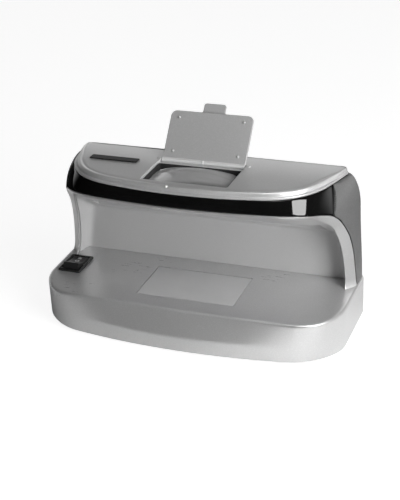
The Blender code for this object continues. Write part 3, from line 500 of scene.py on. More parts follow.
class Shader(Nodes):
    """A material built on a Principled BSDF in object coordinates."""

    def __init__(self, name):
        self.mat = bpy.data.materials.new(name)
        self.mat.use_nodes = True
        super().__init__(self.mat.node_tree)
        self.out = self.add('OutputMaterial')
        self.bsdf = self.add('BsdfPrincipled')
        self.put(self.out.inputs['Surface'], self.bsdf.outputs[0])
        self.obj = self.node('TexCoord', output='Object')

    def set(self, **values):
        for key, value in values.items():
            self.put(self.bsdf.inputs[key.replace('_', ' ')], value)

    def scaled(self, x, y, z, turn=(0, 0, 0)):
        return self.node('Mapping', {'Vector': self.obj, 'Scale': (x, y, z), 'Rotation': turn})

    def noise(self, scale, detail=3.0, rough=0.55, vector=None, distort=0.0):
        return self.node('TexNoise', {'Vector': vector or self.obj, 'Scale': scale,
                                      'Detail': detail, 'Roughness': rough,
                                      'Distortion': distort})

    def cells(self, scale, output):
        return self.node('TexVoronoi', {'Vector': self.obj, 'Scale': scale}, output)

    def axis(self, k):
        return self.node('SeparateXYZ', {0: self.obj}, k)

    def mix(self, factor, a, b):
        return self.node('Mix', {0: factor, 6: a, 7: b}, 2, data_type='RGBA')

    def blend(self, base, colour, mask, amount):
        """Lay a colour over the base where the mask is, by the amount."""
        return self.mix(self.times(mask, amount), base, colour)

    def vary(self, field, rgb, low, high):
        """The colour from low to high times its brightness across a noise."""
        return self.mix(self.rise(field, 0.3, 0.7), tone(rgb, low), tone(rgb, high))

    def worn_edges(self, scale, full):
        """Mask of broken patches along convex edges, solid where the noise reaches full."""
        edge = self.rise(self.node('NewGeometry', output='Pointiness'), 0.53, 0.62)
        return self.times(edge, self.rise(self.noise(scale, detail=4.0), 0.45, full))

    def bump(self, height, strength, distance, normal=None):
        return self.node('Bump', {'Height': height, 'Strength': strength,
                                  'Distance': distance, 'Normal': normal})


# ------------------------------------------------------------------ finishes
def painted(name, rgb, rough, metal, fleck=0.05, fleck_scale=3200.0, grain=0.12,
            mottle=0.03, wear=0.10, painted_barrel_highlight=None):
    """Silver paint on a moulding: metal flake, orange peel, soft mottling, worn edges and
    hairline marks. A line along x, given by its (y, z, radius), can have its colour painted lighter as a highlight
    on a barrel."""
    s = Shader(name)
    broad = s.noise(scale=14.0)
    base = s.vary(broad, rgb, low=1 - mottle, high=1 + mottle)
    flake = s.node('SeparateColor', {'Color': s.cells(fleck_scale, 'Color')})
    bright = s.rise(flake, 0.62, 1.0)
    dark = s.fall(flake, 0.0, 0.28)
    base = s.blend(base, tone(rgb, 1.45), bright, amount=fleck * 4.0)
    base = s.blend(base, tone(rgb, 0.7), dark, amount=fleck * 1.5)
    base = s.blend(base, tone(rgb, 1.5), s.worn_edges(scale=260.0, full=0.65), amount=wear)
    # painted highlight: the colour is made lighter within the radius of the given line along x
    if painted_barrel_highlight:
        y0, z0, radius = painted_barrel_highlight
        y, z = s.axis(1), s.axis(2)
        away = s.math('SQRT', s.plus(s.math('POWER', s.minus(y, y0), 2.0),
                                     s.math('POWER', s.minus(z, z0), 2.0)))
        base = s.mix(s.fall(away, radius * 0.94, radius), base, tone(rgb, 1.75))
    scuff = s.noise(scale=90.0, detail=5.0, rough=0.7,
                    vector=s.scaled(1.0, 9.0, 9.0, turn=(0, 0, 0.5)))
    roughness = s.plus(rough - 0.03, s.times(s.rise(scuff, 0.35, 0.7), 0.03))
    roughness = s.plus(roughness, s.times(s.rise(broad, 0.35, 0.65), 0.03))
    peel = s.bump(s.noise(scale=520.0, detail=2.0), strength=0.12, distance=0.00006)
    s.set(Base_Color=base, Roughness=roughness, Metallic=metal, Coat_Roughness=0.15,
          Normal=s.bump(flake, strength=grain, distance=0.000012, normal=peel))
    return s.mat


def moulded(name, rgb, rough, grain=0.35, grain_scale=1700.0, mottle=0.05, wear=0.10,
            dust=0.05, coat=0.0, spec=0.5):
    """Moulded plastic: spark-eroded grain, slight flow mottling, dust, rubbed edges."""
    s = Shader(name)
    broad = s.noise(scale=22.0, detail=4.0, rough=0.6, distort=0.4)
    base = s.vary(broad, rgb, low=1 - mottle, high=1 + mottle)
    fine = s.noise(grain_scale, rough=0.6)
    base = s.blend(base, tuple(min(1.0, c * 1.7 + 0.03) for c in rgb),
                   s.worn_edges(scale=300.0, full=0.62), amount=wear)
    specks = s.rise(s.noise(scale=900.0, detail=6.0, rough=0.8), 0.66, 0.74)
    base = s.blend(base, (0.55, 0.54, 0.52), specks, amount=dust)
    roughness = s.plus(rough - 0.04, s.times(s.rise(broad, 0.3, 0.7), 0.08))
    grained = s.bump(fine, strength=grain, distance=0.00003)
    waves = s.noise(scale=160.0, detail=2.0)
    s.set(Base_Color=base, Roughness=roughness, Coat_Weight=coat, Coat_Roughness=0.1,
          Normal=s.bump(waves, strength=0.05, distance=0.0001, normal=grained),
          Specular_IOR_Level=spec)
    return s.mat


def gloss(name, rgb, rough):
    """Polished black: hairline swirls and a breath of dust in the reflection."""
    s = Shader(name)
    base = s.vary(s.noise(scale=30.0, detail=4.0), rgb, low=0.85, high=1.15)
    specks = s.rise(s.noise(scale=1500.0, detail=6.0, rough=0.8), 0.69, 0.76)
    base = s.blend(base, grey(0.3), specks, amount=0.10)
    hair = s.noise(scale=240.0, detail=6.0, rough=0.75,
                   vector=s.scaled(0.5, 3.0, 6.0, turn=(0.2, 0.1, 0.3)))
    s.set(Base_Color=base,
          Roughness=s.plus(rough, s.times(s.rise(hair, 0.55, 0.72), 0.05)),
          Normal=s.bump(s.noise(scale=70.0, detail=1.0), strength=0.025, distance=0.0002))
    return s.mat


def steel(name, rgb, rough=0.28, direction=(40.0, 900.0, 900.0)):
    """Plated or brushed metal: fine lines one way, faint staining."""
    s = Shader(name)
    line = s.noise(scale=1.0, detail=5.0, rough=0.7, vector=s.scaled(*direction))
    stain = s.noise(scale=120.0, detail=4.0)
    base = s.vary(line, rgb, low=0.82, high=1.1)
    base = s.blend(base, tone(rgb, 0.6), s.rise(stain, 0.5, 0.75), amount=0.35)
    s.set(Base_Color=base, Metallic=1.0,
          Roughness=s.plus(rough - 0.06, s.times(s.rise(line, 0.3, 0.7), 0.14)),
          Normal=s.bump(line, strength=0.25, distance=0.00001))
    return s.mat


def glass(name, rgb, rough, ior=1.49, haze=0.0, coat=0.0, painted_reflection=0.0):
    """Clear or tinted: smears and pinhole dust show in its roughness."""
    s = Shader(name)
    smear = s.noise(scale=45.0, detail=5.0, rough=0.65, distort=0.8,
                    vector=s.scaled(1.0, 2.4, 1.0, turn=(0, 0, 0.7)))
    roughness = s.plus(rough, s.times(s.rise(smear, 0.45, 0.75), 0.05))
    dots = s.rise(s.noise(scale=1600.0, detail=5.0, rough=0.8), 0.70, 0.76)
    base = s.blend(rgb, tone(rgb, 0.7), dots, amount=0.25)
    if painted_reflection:                                # painted reflection: soft swirls painted darker in the colour, and the colour painted paler to the left as a highlight
        reflection_swirls = s.noise(scale=26.0, detail=2.0, rough=0.5, distort=1.4,
                       vector=s.scaled(0.7, 2.6, 1.0, turn=(0, 0, 0.25)))
        base = s.blend(base, tone(rgb, 0.4), s.rise(reflection_swirls, 0.42, 0.60), amount=painted_reflection)
        base = s.mix(s.span(s.axis(0), -0.026, -0.002, painted_reflection, 0.0), base, grey(0.95))
    s.set(Base_Color=base, Roughness=roughness, IOR=ior, Coat_Weight=coat,
          Transmission_Weight=s.minus(1.0 - haze, s.times(dots, 0.3)),
          Normal=s.bump(s.noise(scale=60.0, detail=1.0), strength=0.02, distance=0.0002))
    return s.mat


def rubber(name, rgb):
    s = Shader(name)
    fine = s.noise(scale=1400.0, detail=5.0, rough=0.7)
    bloom = s.noise(scale=60.0, detail=4.0)
    s.set(Base_Color=s.mix(s.rise(bloom, 0.4, 0.75), rgb, tone(rgb, 2.2)),
          Roughness=s.span(fine, 0.3, 0.7, 0.75, 0.95), Specular_IOR_Level=0.3,
          Normal=s.bump(fine, strength=0.5, distance=0.00005))
    return s.mat


def board(name, rgb):
    """Circuit board: solder mask over copper tracks, bare pads, woven substrate."""
    s = Shader(name)
    weave = s.node('TexWave', {'Vector': s.obj, 'Scale': 700.0, 'Distortion': 0.6}, 1)
    tracks = s.node('TexBrick', {'Vector': s.scaled(1.0, 1.0, 1.0, turn=(0, 0, 0.785)),
                                 'Scale': 230.0, 'Mortar Size': 0.14, 'Mortar Smooth': 0.1}, 1)
    base = s.mix(tracks, rgb, tone(rgb, 1.9))
    base = s.blend(base, tone(rgb, 0.7), weave, amount=0.12)
    pads = s.fall(s.cells(160.0, 'Distance'), 0.16, 0.20)
    s.set(Base_Color=s.mix(pads, base, (0.72, 0.70, 0.62)), Metallic=pads,
          Roughness=s.span(pads, 0.0, 1.0, 0.38, 0.25),
          Normal=s.bump(s.plus(tracks, pads), strength=0.35, distance=0.00004))
    return s.mat


def frosted(name, rgb):
    """Translucent frosted window."""
    s = Shader(name)
    fine = s.noise(scale=2400.0, detail=4.0, rough=0.7)
    s.set(Base_Color=s.vary(s.noise(scale=35.0, detail=4.0), rgb, low=0.96, high=1.04),
          Roughness=s.span(fine, 0.3, 0.7, 0.42, 0.6), Subsurface_Weight=0.25,
          Subsurface_Radius=grey(0.004), Transmission_Weight=0.12,
          Normal=s.bump(fine, strength=0.35, distance=0.00002))
    return s.mat


SILVER = painted("silver_satin", grey(0.64), rough=0.30, metal=0.62)
SILVER_TOP = painted("silver_cover", grey(0.60), rough=0.32, metal=0.45, fleck_scale=3400.0)
# The frame's silver is the base's paint made darker, a shaded copy: painted shade against the strong light on the
# frame.
SILVER_STRIP = painted("silver_frame", grey(0.46), rough=0.32, metal=0.45)
PALE = painted("pale_lining", grey(0.49), rough=0.42, metal=0.08, fleck=0.02,
               fleck_scale=2600.0, wear=0.02, mottle=0.02)
GREY = painted("mid_grey_shell", grey(0.15), rough=0.42, metal=0.25, fleck=0.10,
               fleck_scale=2200.0, grain=0.25)
# The lid's colour is painted lighter round its hinge barrel: a painted highlight standing in for the barrel's
# shine.
LID_GREY = painted("lid_grey", grey(0.43), rough=0.40, metal=0.2, fleck=0.06,
                   fleck_scale=2800.0, grain=0.25,
                   painted_barrel_highlight=(LID_AXIS.y, LID_AXIS.z, (LID_BARREL_R + 0.3) * MM))
GLOSS = gloss("gloss_black", grey(0.004), rough=0.035)
# The lens's colour carries painted reflection: darker swirls and a paler left side.
CLEAR = glass("clear_lens", grey(0.64), rough=0.03, haze=0.5, coat=0.8, painted_reflection=0.65)
BLACK = moulded("black_plastic", grey(0.012), rough=0.24, grain=0.12, dust=0.03)
BLACK_MATT = moulded("black_plastic_matt", grey(0.02), rough=0.5, grain=0.4)
ROCKER_BLACK = moulded("rocker_black", grey(0.016), rough=0.36, spec=0.25, grain=0.08,
                       wear=0.08, dust=0.03)
MARK = moulded("mark_print", grey(0.62), rough=0.45, grain=0.3, grain_scale=4000.0, dust=0.0)
RUBBER = rubber("rubber_dark", grey(0.022))
PLATE = moulded("dark_grey_plate", grey(0.06), rough=0.55, grain=0.6, grain_scale=1200.0)
STEEL = steel("zinc_steel", (0.62, 0.62, 0.60))
TUBE = glass("uv_glass", (0.22, 0.17, 0.48), rough=0.03, ior=1.52, haze=0.35)
ALU = steel("aluminium", (0.78, 0.78, 0.79), rough=0.24, direction=(60.0, 1400.0, 1400.0))
WHITE = moulded("white_plastic", (0.74, 0.74, 0.72), rough=0.42, grain=0.3)
FROST = frosted("frosted_window", grey(0.62))
BOARD = board("board_green", (0.02, 0.12, 0.05))
CORE = moulded("ferrite", (0.05, 0.047, 0.043), rough=0.62, grain=0.9, grain_scale=900.0,
               mottle=0.2)
TAPE = moulded("winding_tape", (0.55, 0.36, 0.05), rough=0.35, grain=0.2, grain_scale=400.0,
               mottle=0.15)
CAN = moulded("capacitor_sleeve", (0.02, 0.035, 0.13), rough=0.28, grain=0.1, coat=0.3)
BRASS = steel("tin_brass", (0.70, 0.58, 0.32), rough=0.3)
WIRE_RED = moulded("wire_sleeve_red", (0.42, 0.015, 0.015), rough=0.4, grain=0.2,
                   grain_scale=800.0)
LED = glass("led_epoxy", (0.93, 0.86, 0.45), rough=0.08, ior=1.5, haze=0.25)
BADGE = moulded("badge_dark", grey(0.010), rough=0.42, grain=0.15, wear=0.04, dust=0.03,
                spec=0.2)
# A spare finish that no piece wears.
steel("badge_rim", grey(0.10), rough=0.3, direction=(900.0, 40.0, 900.0))

BY_SLOT = {"silver": SILVER, "silver_cover": SILVER_TOP, "pale_lining": PALE,
           "grey_shell": GREY, "lid_grey": LID_GREY, "gloss_black": GLOSS,
           "clear_lens": CLEAR, "black_plastic": BLACK_MATT, "rubber": RUBBER,
           "dark_plate": PLATE, "steel": STEEL, "uv_glass": TUBE, "aluminium": ALU,
           "white_plastic": WHITE, "frosted": FROST, "board": BOARD, "ferrite": CORE,
           "tape": TAPE, "sleeve": CAN, "brass": BRASS, "wire_red": WIRE_RED, "led": LED,
           "badge": BADGE}
for name, ob in frame["nodes"].items():
    ob.data.materials.clear()
    ob.data.materials.append(BY_SLOT[SLOTS[name]])

# ------------------------------------------------------------------ base
# Plans of the base: front y, bow of the front per x squared, corner's start x, its reach in
# x, its end y, half width at the rear.
LOWER_PLAN = (0.4, 0.00123, 66.0, 28.8, 34.0, 95.0)
TRAY_PLAN = (7.0, 0.00012, 70.0, 24.6, 38.0, 95.0)


def base_outline(inward, front_y, bow, corner_x, reach, corner_y, rear_half):
    """Plan of the base, anticlockwise from the front middle, as one closed outline."""
    front_y, reach, rear_half = front_y + inward, reach - inward, rear_half - inward
    rear_y, rear_r = REAR_Y - inward, REAR_R - inward
    half = [(corner_x * i / 24.0, front_y) for i in range(24)]
    for i in range(49):
        t = math.pi / 2 * i / 48
        half.append((corner_x + reach * math.sin(t),
                     corner_y - (corner_y - front_y) * math.cos(t)))
    for i in range(1, 12):
        s = i / 12.0
        half.append((corner_x + reach + (rear_half - corner_x - reach) * s,
                     corner_y + (rear_y - rear_r - corner_y) * s))
    half += quarter(rear_half - rear_r, rear_y - rear_r, rear_r, 16)
    half += [(rear_half * k, rear_y) for k in (0.7, 0.5, 0.3, 0.12)]
    bowed = []
    for x, y in half:
        share = min(1.0, max(0.0, (corner_y - y) / (corner_y - front_y)))
        bowed.append((x, y + bow * x * x * share))
    left = [(-x, y) for x, y in reversed(bowed[1:])]
    exact = np.array(bowed + [(0.0, rear_y)] + left)
    full = relax_closed(exact, 6)
    rear = exact[:, 1] > 60
    full[rear] = exact[rear]
    return full


def base_level(z, share, inward):
    """Ring of the base: share runs from the lower plan (0) to the tray's (1)."""
    lower, tray = base_outline(inward, *LOWER_PLAN), base_outline(inward, *TRAY_PLAN)
    return level(lower * (1 - share) + tray * share, z)


def curved_levels(start, middle, end, steps):
    start, middle, end = np.array(start), np.array(middle), np.array(end)
    return [quadratic(start, middle, end, i / steps) for i in range(steps + 1)]


def slope(z):
    return (z - BASE_CREASE) / (TRAY_Z - BASE_CREASE)


# (z, share, inward) from the inside of the tray down, out at the bottom and up the outside.
levels = [(TRAY_Z - 2.6, 1.0, BASE_WALL + 0.2), (BASE_CREASE, 0.0, BASE_WALL),
          (BASE_Z0, 0.0, BASE_WALL)]
levels += curved_levels((BASE_Z0, 0.0, 0.55), (BASE_Z0, 0.0, 0.0), (BASE_Z0 + 0.8, 0.0, 0.0), 5)
levels += [(5.0, 0.0, 0.0), (8.0, 0.0, 0.0)]
levels += curved_levels((BASE_CREASE - 1.5, 0.0, 0.0), (BASE_CREASE, 0.0, 0.0),
                        (BASE_CREASE + 1.9, slope(BASE_CREASE + 1.9), 0.0), 7)
levels += [(z, slope(z), 0.0) for z in (15.0, 17.5, 20.0, 22.5)]
levels += curved_levels((24.3, slope(24.3), 0.0), (TRAY_Z, 1.0, 0.0), (TRAY_Z, 1.0, 1.9), 9)
levels += [(TRAY_Z, 1.0, 2.4)]
base = loft([base_level(*lv) for lv in levels], "base_moulding", angle=40)
TRAY_CUT = (22.0, 27.0)                              # z range of the holes through the tray
combine(base,
        add=[merged([rod((x, y, 4.8), (0, 0, 1), SCREW_BOSS_R, 20.0, 24)
                     for x, y in BASE_SCREWS.values()])],
        cut=[merged([rod((x, y, 3.0), (0, 0, 1), SCREW_BORE_R, 13.5, 26)
                     for x, y in BASE_SCREWS.values()]),
             box((SWITCH_X - 6.8, SWITCH_X + 6.8), (SWITCH_Y - 9.8, SWITCH_Y + 9.8), TRAY_CUT),
             box((-31, 31), (20, 56), TRAY_CUT),
             box((50, 78), (75, 79.5), TRAY_CUT),
             rod((60, 78, 13), (0, 1, 0), 4.2, 8, 48)], angle=40)
place(base, SILVER, "base_shell")

# ------------------------------------------------------------------ front frame curve
# Columns: inner edge 0-2, outer edge 3-5, depth direction 6-8, back wall 9-11, station 12.
dense = spline([inner + outer + (turn,) + back + (float(k),)
                for k, (inner, outer, turn, back) in enumerate(FRAME)], 40)
turns = np.radians(dense[:, 6])
right = np.concatenate([
    dense[:, 0:6],
    np.c_[-np.sin(turns), np.cos(turns), np.zeros(len(turns))],
    np.c_[dense[:, 7], np.full(len(turns), BACK_WALL_Y), dense[:, 8]],
    dense[:, 9:10]], 1)
right = resample(right, 0.9, slice(3, 6))
left = right[:-1][::-1].copy()
left[:, [0, 3, 6, 9]] *= -1
CURVE = relax(np.concatenate([right, left]), 14)     # right foot, over the head, left foot


def unpack(row):
    return row[0:3], row[3:6], unit(row[6:9]), row[9:12]


def frame_section(row):
    inner, outer, depth, back = unpack(row)
    return [inner, outer, outer + depth * 2.4, inner + unit(back - inner) * 2.0]


# ------------------------------------------------------------------ front frame
FOOT = 6.5                                           # height over which a foot spreads


def foot_rows(curve):
    """The curve again with extra rows close to both feet."""
    out = [curve[0] * (1 - t) + curve[1] * t for t in (0.0, 0.08, 0.2, 0.35, 0.5, 0.75)]
    out += list(curve[1:-1])
    return out + [curve[-2] * (1 - t) + curve[-1] * t
                  for t in (0.25, 0.5, 0.65, 0.8, 0.92, 1.0)]


def strip_ring(row):
    section = [v.copy() for v in frame_section(row)]
    inner, outer, depth, _ = unpack(row)
    low = max(0.0, min(inner[2], outer[2]) - TRAY_Z - 0.28)
    if low < FOOT:                                   # the foot spreads onto the tray
        flare = FOOT - math.sqrt(max(0.0, FOOT ** 2 - (FOOT - low) ** 2))
        side = unit(outer - inner)
        section[0] = section[0] - depth * flare * 0.22 - side * flare * 0.20
        section[1] = section[1] - depth * flare * 0.12
        for v in section:
            v[2] -= 0.25 * (1 - low / FOOT)
    ring = []
    for i, size in enumerate((0.75, 0.7, 0.3, 0.3)):
        ring += corner_curve(section[i - 1], section[i], section[(i + 1) % 4], size, 5,
                             pull=0.42)
    return ring


strip = loft([strip_ring(row) for row in foot_rows(CURVE)], "front_frame_strip", angle=40)
place(strip, SILVER_STRIP, "front_frame")

# ------------------------------------------------------------------ chamber lining
LINING_R = 3.0                                       # rounding where it meets the back wall
REAR_WALL = np.array((0, 2.2, 0))


def lining_ring(row):
    inner, _, _, wall = unpack(row)
    wall = wall.copy()
    x, _, z = wall
    side = math.copysign(1.0, x)
    _, _, deep_outer, deep_inner = frame_section(row)
    front = inner + unit(wall - inner) * 2.35
    front_out = front + unit(deep_outer - deep_inner) * 2.2
    up = smooth(z, 53.0, 57.0)
    spread = np.array((side * (1 - up * smooth(-abs(x), -79.0, -74.0)), 0.0, up))
    wall_out = wall + REAR_WALL + spread * 2.1
    over = smooth(z, 50.0, 56.5) * (1 - 0.5 * smooth(abs(x), 66.0, 80.0))
    inward = unit(np.array((-side * (1 - over), 0.0, -over)))
    if z < 27.0:
        for v in (front, front_out, wall_out, wall):
            v[2] = min(v[2], TRAY_Z + 0.12)
    run = front - wall
    forward = unit(run)
    ring = [front + (front_out - front) * 0.12, front + forward * -0.25]
    ring += [front - run * t for t in (0.15, 0.35, 0.6, 0.8)]
    ring += [quadratic(wall + forward * LINING_R, wall, wall + inward * LINING_R, i / 6)
             for i in range(7)]
    lip = wall + inward * (LINING_R + 0.8)
    return ring + [lip, lip + REAR_WALL, wall_out, front_out]


rings = [lining_ring(row) for row in CURVE]
count, size = len(rings), len(rings[0])
wall_front, wall_back = size - 4, size - 3           # the lip's places in each ring
faces = []
for i in range(count - 1):
    quads = ring_faces(range(i * size, (i + 1) * size), range((i + 1) * size, (i + 2) * size))
    faces += [quad for j, quad in enumerate(quads) if j != wall_front]
# The back wall's front and rear faces, and its underside.
faces.append([i * size + wall_front for i in range(count)])
faces.append([i * size + wall_back for i in reversed(range(count))])
foot_a = list(range(size))
foot_b = [(count - 1) * size + j for j in range(size)]
faces.append(foot_a[:wall_front + 1] + foot_b[wall_front::-1]
             + foot_b[:wall_back - 1:-1] + foot_a[wall_back:])
lining = make("chamber_liner", [v for ring in rings for v in ring], faces, angle=42)
combine(lining,
        add=[merged([rod((x, 71.0, z), (0, 1, 0), SCREW_BOSS_R, 9.0, 24)
                     for x, z in REAR_SCREWS.values()])],
        cut=[merged([rod((x, 72.9, z), (0, 1, 0), SCREW_BORE_R, 9.0, 26)
                     for x, z in REAR_SCREWS.values()]),
             box((-24, 24), (26, 48.5), (60, 92)),
             box((-74.5, 74.5), (52.5, 67.3), (54, 82))], angle=42)
place(lining, PALE, "chamber_lining")

# ------------------------------------------------------------------ rear shell
side_line = right[right[:, 12] <= CORNER_STATION + 1e-6][:, 3:6]
side_line = np.concatenate([side_line, [np.array(FRAME[CORNER_STATION][1], float)]])
side_line = relax(side_line, 10)


def seam_at(z):
    """Where the side panel starts: along the strip, then along the band's end."""
    top = side_line[-1]
    if z <= top[2]:
        heights = side_line[:, 2]
        return np.array([np.interp(z, heights, side_line[:, 0]),
                         np.interp(z, heights, side_line[:, 1]), z])
    s = (z - top[2]) / (HEAD_Z - top[2])
    seam = top * (1 - s) + SEAM_TOP * s
    bulge = 1.6 * math.sin(math.pi * s)
    return np.array((seam[0] + bulge * 0.9, seam[1] - bulge * 0.6, z))


def shell_path(z):
    """Right half of the shell's outer plan at a height, from the seam to the rear middle."""
    half = 94.0 - 1.4 * smooth(z, 26.0, SHOULDER_Z)
    q = min(1.0, max(0.0, (z - SHOULDER_Z) / (HEAD_Z - SHOULDER_Z)))
    drop = 1.0 - math.sqrt(max(0.0, 1.0 - q * q))
    half -= (92.6 - 85.0) * drop
    rear_y = REAR_Y - (REAR_Y - COVER_REAR_Y - 0.1) * drop
    r = REAR_R - (REAR_R - COVER_REAR_R) * drop
    seam = seam_at(z)
    x0, y0 = seam[0], seam[1] + 0.5 - 0.3 * smooth(z, 70.0, 80.0)
    x2, y2 = half, rear_y - r
    x1, y1 = x0 + (x2 - x0) * 0.80, y0 + (y2 - y0) * 0.45
    path = [(quadratic(x0, x1, x2, i / 32.0), quadratic(y0, y1, y2, i / 32.0))
            for i in range(32)]
    path += quarter(half - r, rear_y - r, r, 16)
    return path + [(half * k, rear_y) for k in (0.75, 0.5, 0.25)] + [(0.0, rear_y)]


def shell_ring(z):
    outer = shell_path(z)
    last = len(outer) - 1
    inner = []
    slant = 2.75 - 2.3 * smooth(z, 72.0, 85.0)
    for i, (x, y) in enumerate(outer):
        before, after = outer[max(i - 1, 0)], outer[min(i + 1, last)]
        along_x, along_y = after[0] - before[0], after[1] - before[1]
        length = math.hypot(along_x, along_y)
        if i == last:
            along_x, along_y, length = -1.0, 0.0, 1.0
        along_x, along_y = along_x / length, along_y / length
        k = slant * max(0.0, 1.0 - i / 32.0)
        inner.append((x - along_y * SHELL_WALL + along_x * k,
                      y + along_x * SHELL_WALL + along_y * k))
    first = np.array(outer[0])
    along = unit(np.array(outer[1]) - first)
    into = unit(np.array(inner[0]) - first)
    soft = [first + into * 0.45, first + into * 0.13 + along * 0.1, first + along * 0.42]
    skip = next(i for i, v in enumerate(outer)
                if math.hypot(v[0] - outer[0][0], v[1] - outer[0][1]) > 0.7)
    outer = [tuple(v) for v in soft] + outer[skip:]
    full_outer = outer + [(-x, y) for x, y in reversed(outer[:-1])]
    full_inner = inner + [(-x, y) for x, y in reversed(inner[:-1])]
    up = smooth(z, SHOULDER_Z, HEAD_Z)
    return [(x, y, z - up * roll(y)) for x, y in full_outer + full_inner[::-1]]


heights = list(np.linspace(TRAY_Z + 0.35, SHOULDER_Z, 30))
top_turn = math.asin((93.65 - SHOULDER_Z) / (HEAD_Z - SHOULDER_Z))
heights += [SHOULDER_Z + (HEAD_Z - SHOULDER_Z) * math.sin(top_turn * i / 26)
            for i in range(1, 27)]
shell = loft([shell_ring(z) for z in heights], "rear_casing", angle=45)
VENT_HALF, VENT_HALF_H, VENT_END = 4.0, 1.1, 86.0
VENT_X0, VENT_PITCH, VENT_ROWS = -34.0, 11, (67.1, 73.1)


def vent_cutter(cx, cz):
    """Rounded slot along x with a small flare where it meets the outer face."""
    def ring(y, grow):
        plan = rounded_rect(VENT_HALF + grow, VENT_HALF_H + grow, VENT_HALF_H + grow - 0.01, 6)
        return [(cx + a, y, cz + b) for a, b in plan]
    return loft([ring(78.0, 0), ring(REAR_Y - 0.35, 0), ring(REAR_Y - 0.12, 0.08),
                 ring(REAR_Y, 0.3), ring(VENT_END, 0.3 + (VENT_END - REAR_Y))])


vents = [vent_cutter(VENT_X0 + VENT_PITCH * i, cz) for i in range(7) for cz in VENT_ROWS]
SCREW_HOLE = [(0, 0), (SCREW_BORE_R, 0), (SCREW_BORE_R, 5.1), (2.05, 5.5), (2.05, 9.0), (0, 9.0)]
combine(shell, cut=[merged([lathe((x, 78.0, z), (0, 1, 0), SCREW_HOLE, 32)
                            for x, z in REAR_SCREWS.values()]),
                    merged(vents)], angle=45)
place(shell, GREY, "rear_shell")

# insulating sheet inside, in front of the vents
screen = box((-41.0, 41.0), (80.1, 80.7), (62.5, 78.5), 0.15, "insulating_sheet")
place(screen, BLACK_MATT)

# dark gasket behind the joint between the front frame, the band and the shell
rings = []
for z in np.linspace(58.0, 88.0, 31):
    seam = seam_at(z)
    cx, cy = seam[0] - 2.3, seam[1] + 2.6
    rings.append([(cx + a, cy + b, z)
                  for a, b in ((-1.1, -1.1), (0.9, -1.0), (0.9, 0.9), (-1.1, 0.9))])
for side, tag in ((1, "right"), (-1, "left")):
    place(loft([[(side * x, y, z) for x, y, z in ring] for ring in rings],
               f"seam_gasket_{tag}"), BLACK_MATT)


# ------------------------------------------------------------------ cover outline
def cover_outline():
    """Closed plan of the cover's lip, anticlockwise from the front middle."""
    plan = [tuple(p) for p in spline(COVER_PLAN, 24)]
    plan += quarter(84.9 - COVER_REAR_R, COVER_REAR_Y - COVER_REAR_R, COVER_REAR_R, 16)[1:]
    plan += [(0.0, COVER_REAR_Y)]
    half = resample(np.array(plan), 0.8, slice(0, 2))
    full = np.concatenate([half, np.c_[-half[1:-1][::-1, 0], half[1:-1][::-1, 1]]])
    return relax_closed(full, 10)


OUTLINE = cover_outline()


def cover_ring(inward, z, rear_share=0.35):
    """The lip's plan moved inwards, by only a share of that at the rear."""
    k = np.array([1.0 - (1.0 - rear_share) * smooth(y, 48.0, 76.0) for y in OUTLINE[:, 1]])
    return rolled(OUTLINE + normals(OUTLINE) * (inward * k)[:, None], z)


# ------------------------------------------------------------------ gloss band
BAND_TOP, BAND_HOLLOW = HEAD_Z - 0.35, -0.5          # a negative hollow bows it outwards
top_line = cover_ring(0.0, BAND_TOP)[:len(OUTLINE) // 2]
top_line = top_line[(top_line[:, 1] < SEAM_TOP[1] - 0.2) & (top_line[:, 0] < 83)]
top_line = np.concatenate([top_line, [[SEAM_TOP[0] - 0.15, SEAM_TOP[1] - 0.35,
                                       BAND_TOP - roll(SEAM_TOP[1])]]])
head = CURVE[len(right) - 1:]                        # middle to the left foot
head = head[head[:, 12] >= CORNER_STATION - 0.02]
low_line = head[:, 3:6] * MIRROR_X
depths = head[:, 6:9] * MIRROR_X
along = lengths(low_line)
sections = []
for i in range(len(low_line)):
    low = low_line[i] + np.array((0, 0, 0.35))
    high = at_length(top_line, along[i] / along[-1])
    depth = unit(depths[i])
    face = [low * (1 - s) + high * s + depth * BAND_HOLLOW * 4 * s * (1 - s)
            for s in np.linspace(0.0, 1.0, 13)]
    face[0] = face[0] + depth * 0.22
    face.insert(1, low * 0.975 + high * 0.025)
    face[-1] = face[-1] + depth * 0.22
    face.insert(-1, low * 0.02 + high * 0.98)
    sections.append(face + [high + depth * 1.7, (low + high) * 0.5 + depth * 2.1,
                            low + depth * 1.8])
left_sections = [[v * MIRROR_X for v in section] for section in sections[1:]]
band = loft(left_sections[::-1] + sections, "gloss_band_trim", angle=50)
place(band, GLOSS, "gloss_band")

# ------------------------------------------------------------------ top cover
# Edge of the cover from underneath to its flat top: inset from the lip, z.
BEAD = [(2.6, 94.0), (0.35, 94.0), (0.1, 94.06), (0.0, 94.3), (0.0, 94.7), (0.08, 95.0),
        (0.35, 95.22), (0.8, 95.3), (1.2, 95.34), (1.45, 95.5), (1.6, 95.9), (1.72, 96.4),
        (1.95, 96.9), (2.3, 97.32), (2.75, 97.6), (3.25, 97.7), (3.8, 97.66), (4.3, 97.5),
        (4.75, 97.3), (5.15, 97.2), (5.55, 97.22), (6.0, 97.32), (6.6, 97.39), (7.4, COVER_Z)]
OPEN_CY, OPEN_HALF_Y = (OPEN_Y0 + OPEN_Y1) / 2, (OPEN_Y1 - OPEN_Y0) / 2
POCKET = dict(half_x=31.5, half_y=20.05)             # wider recess below the opening


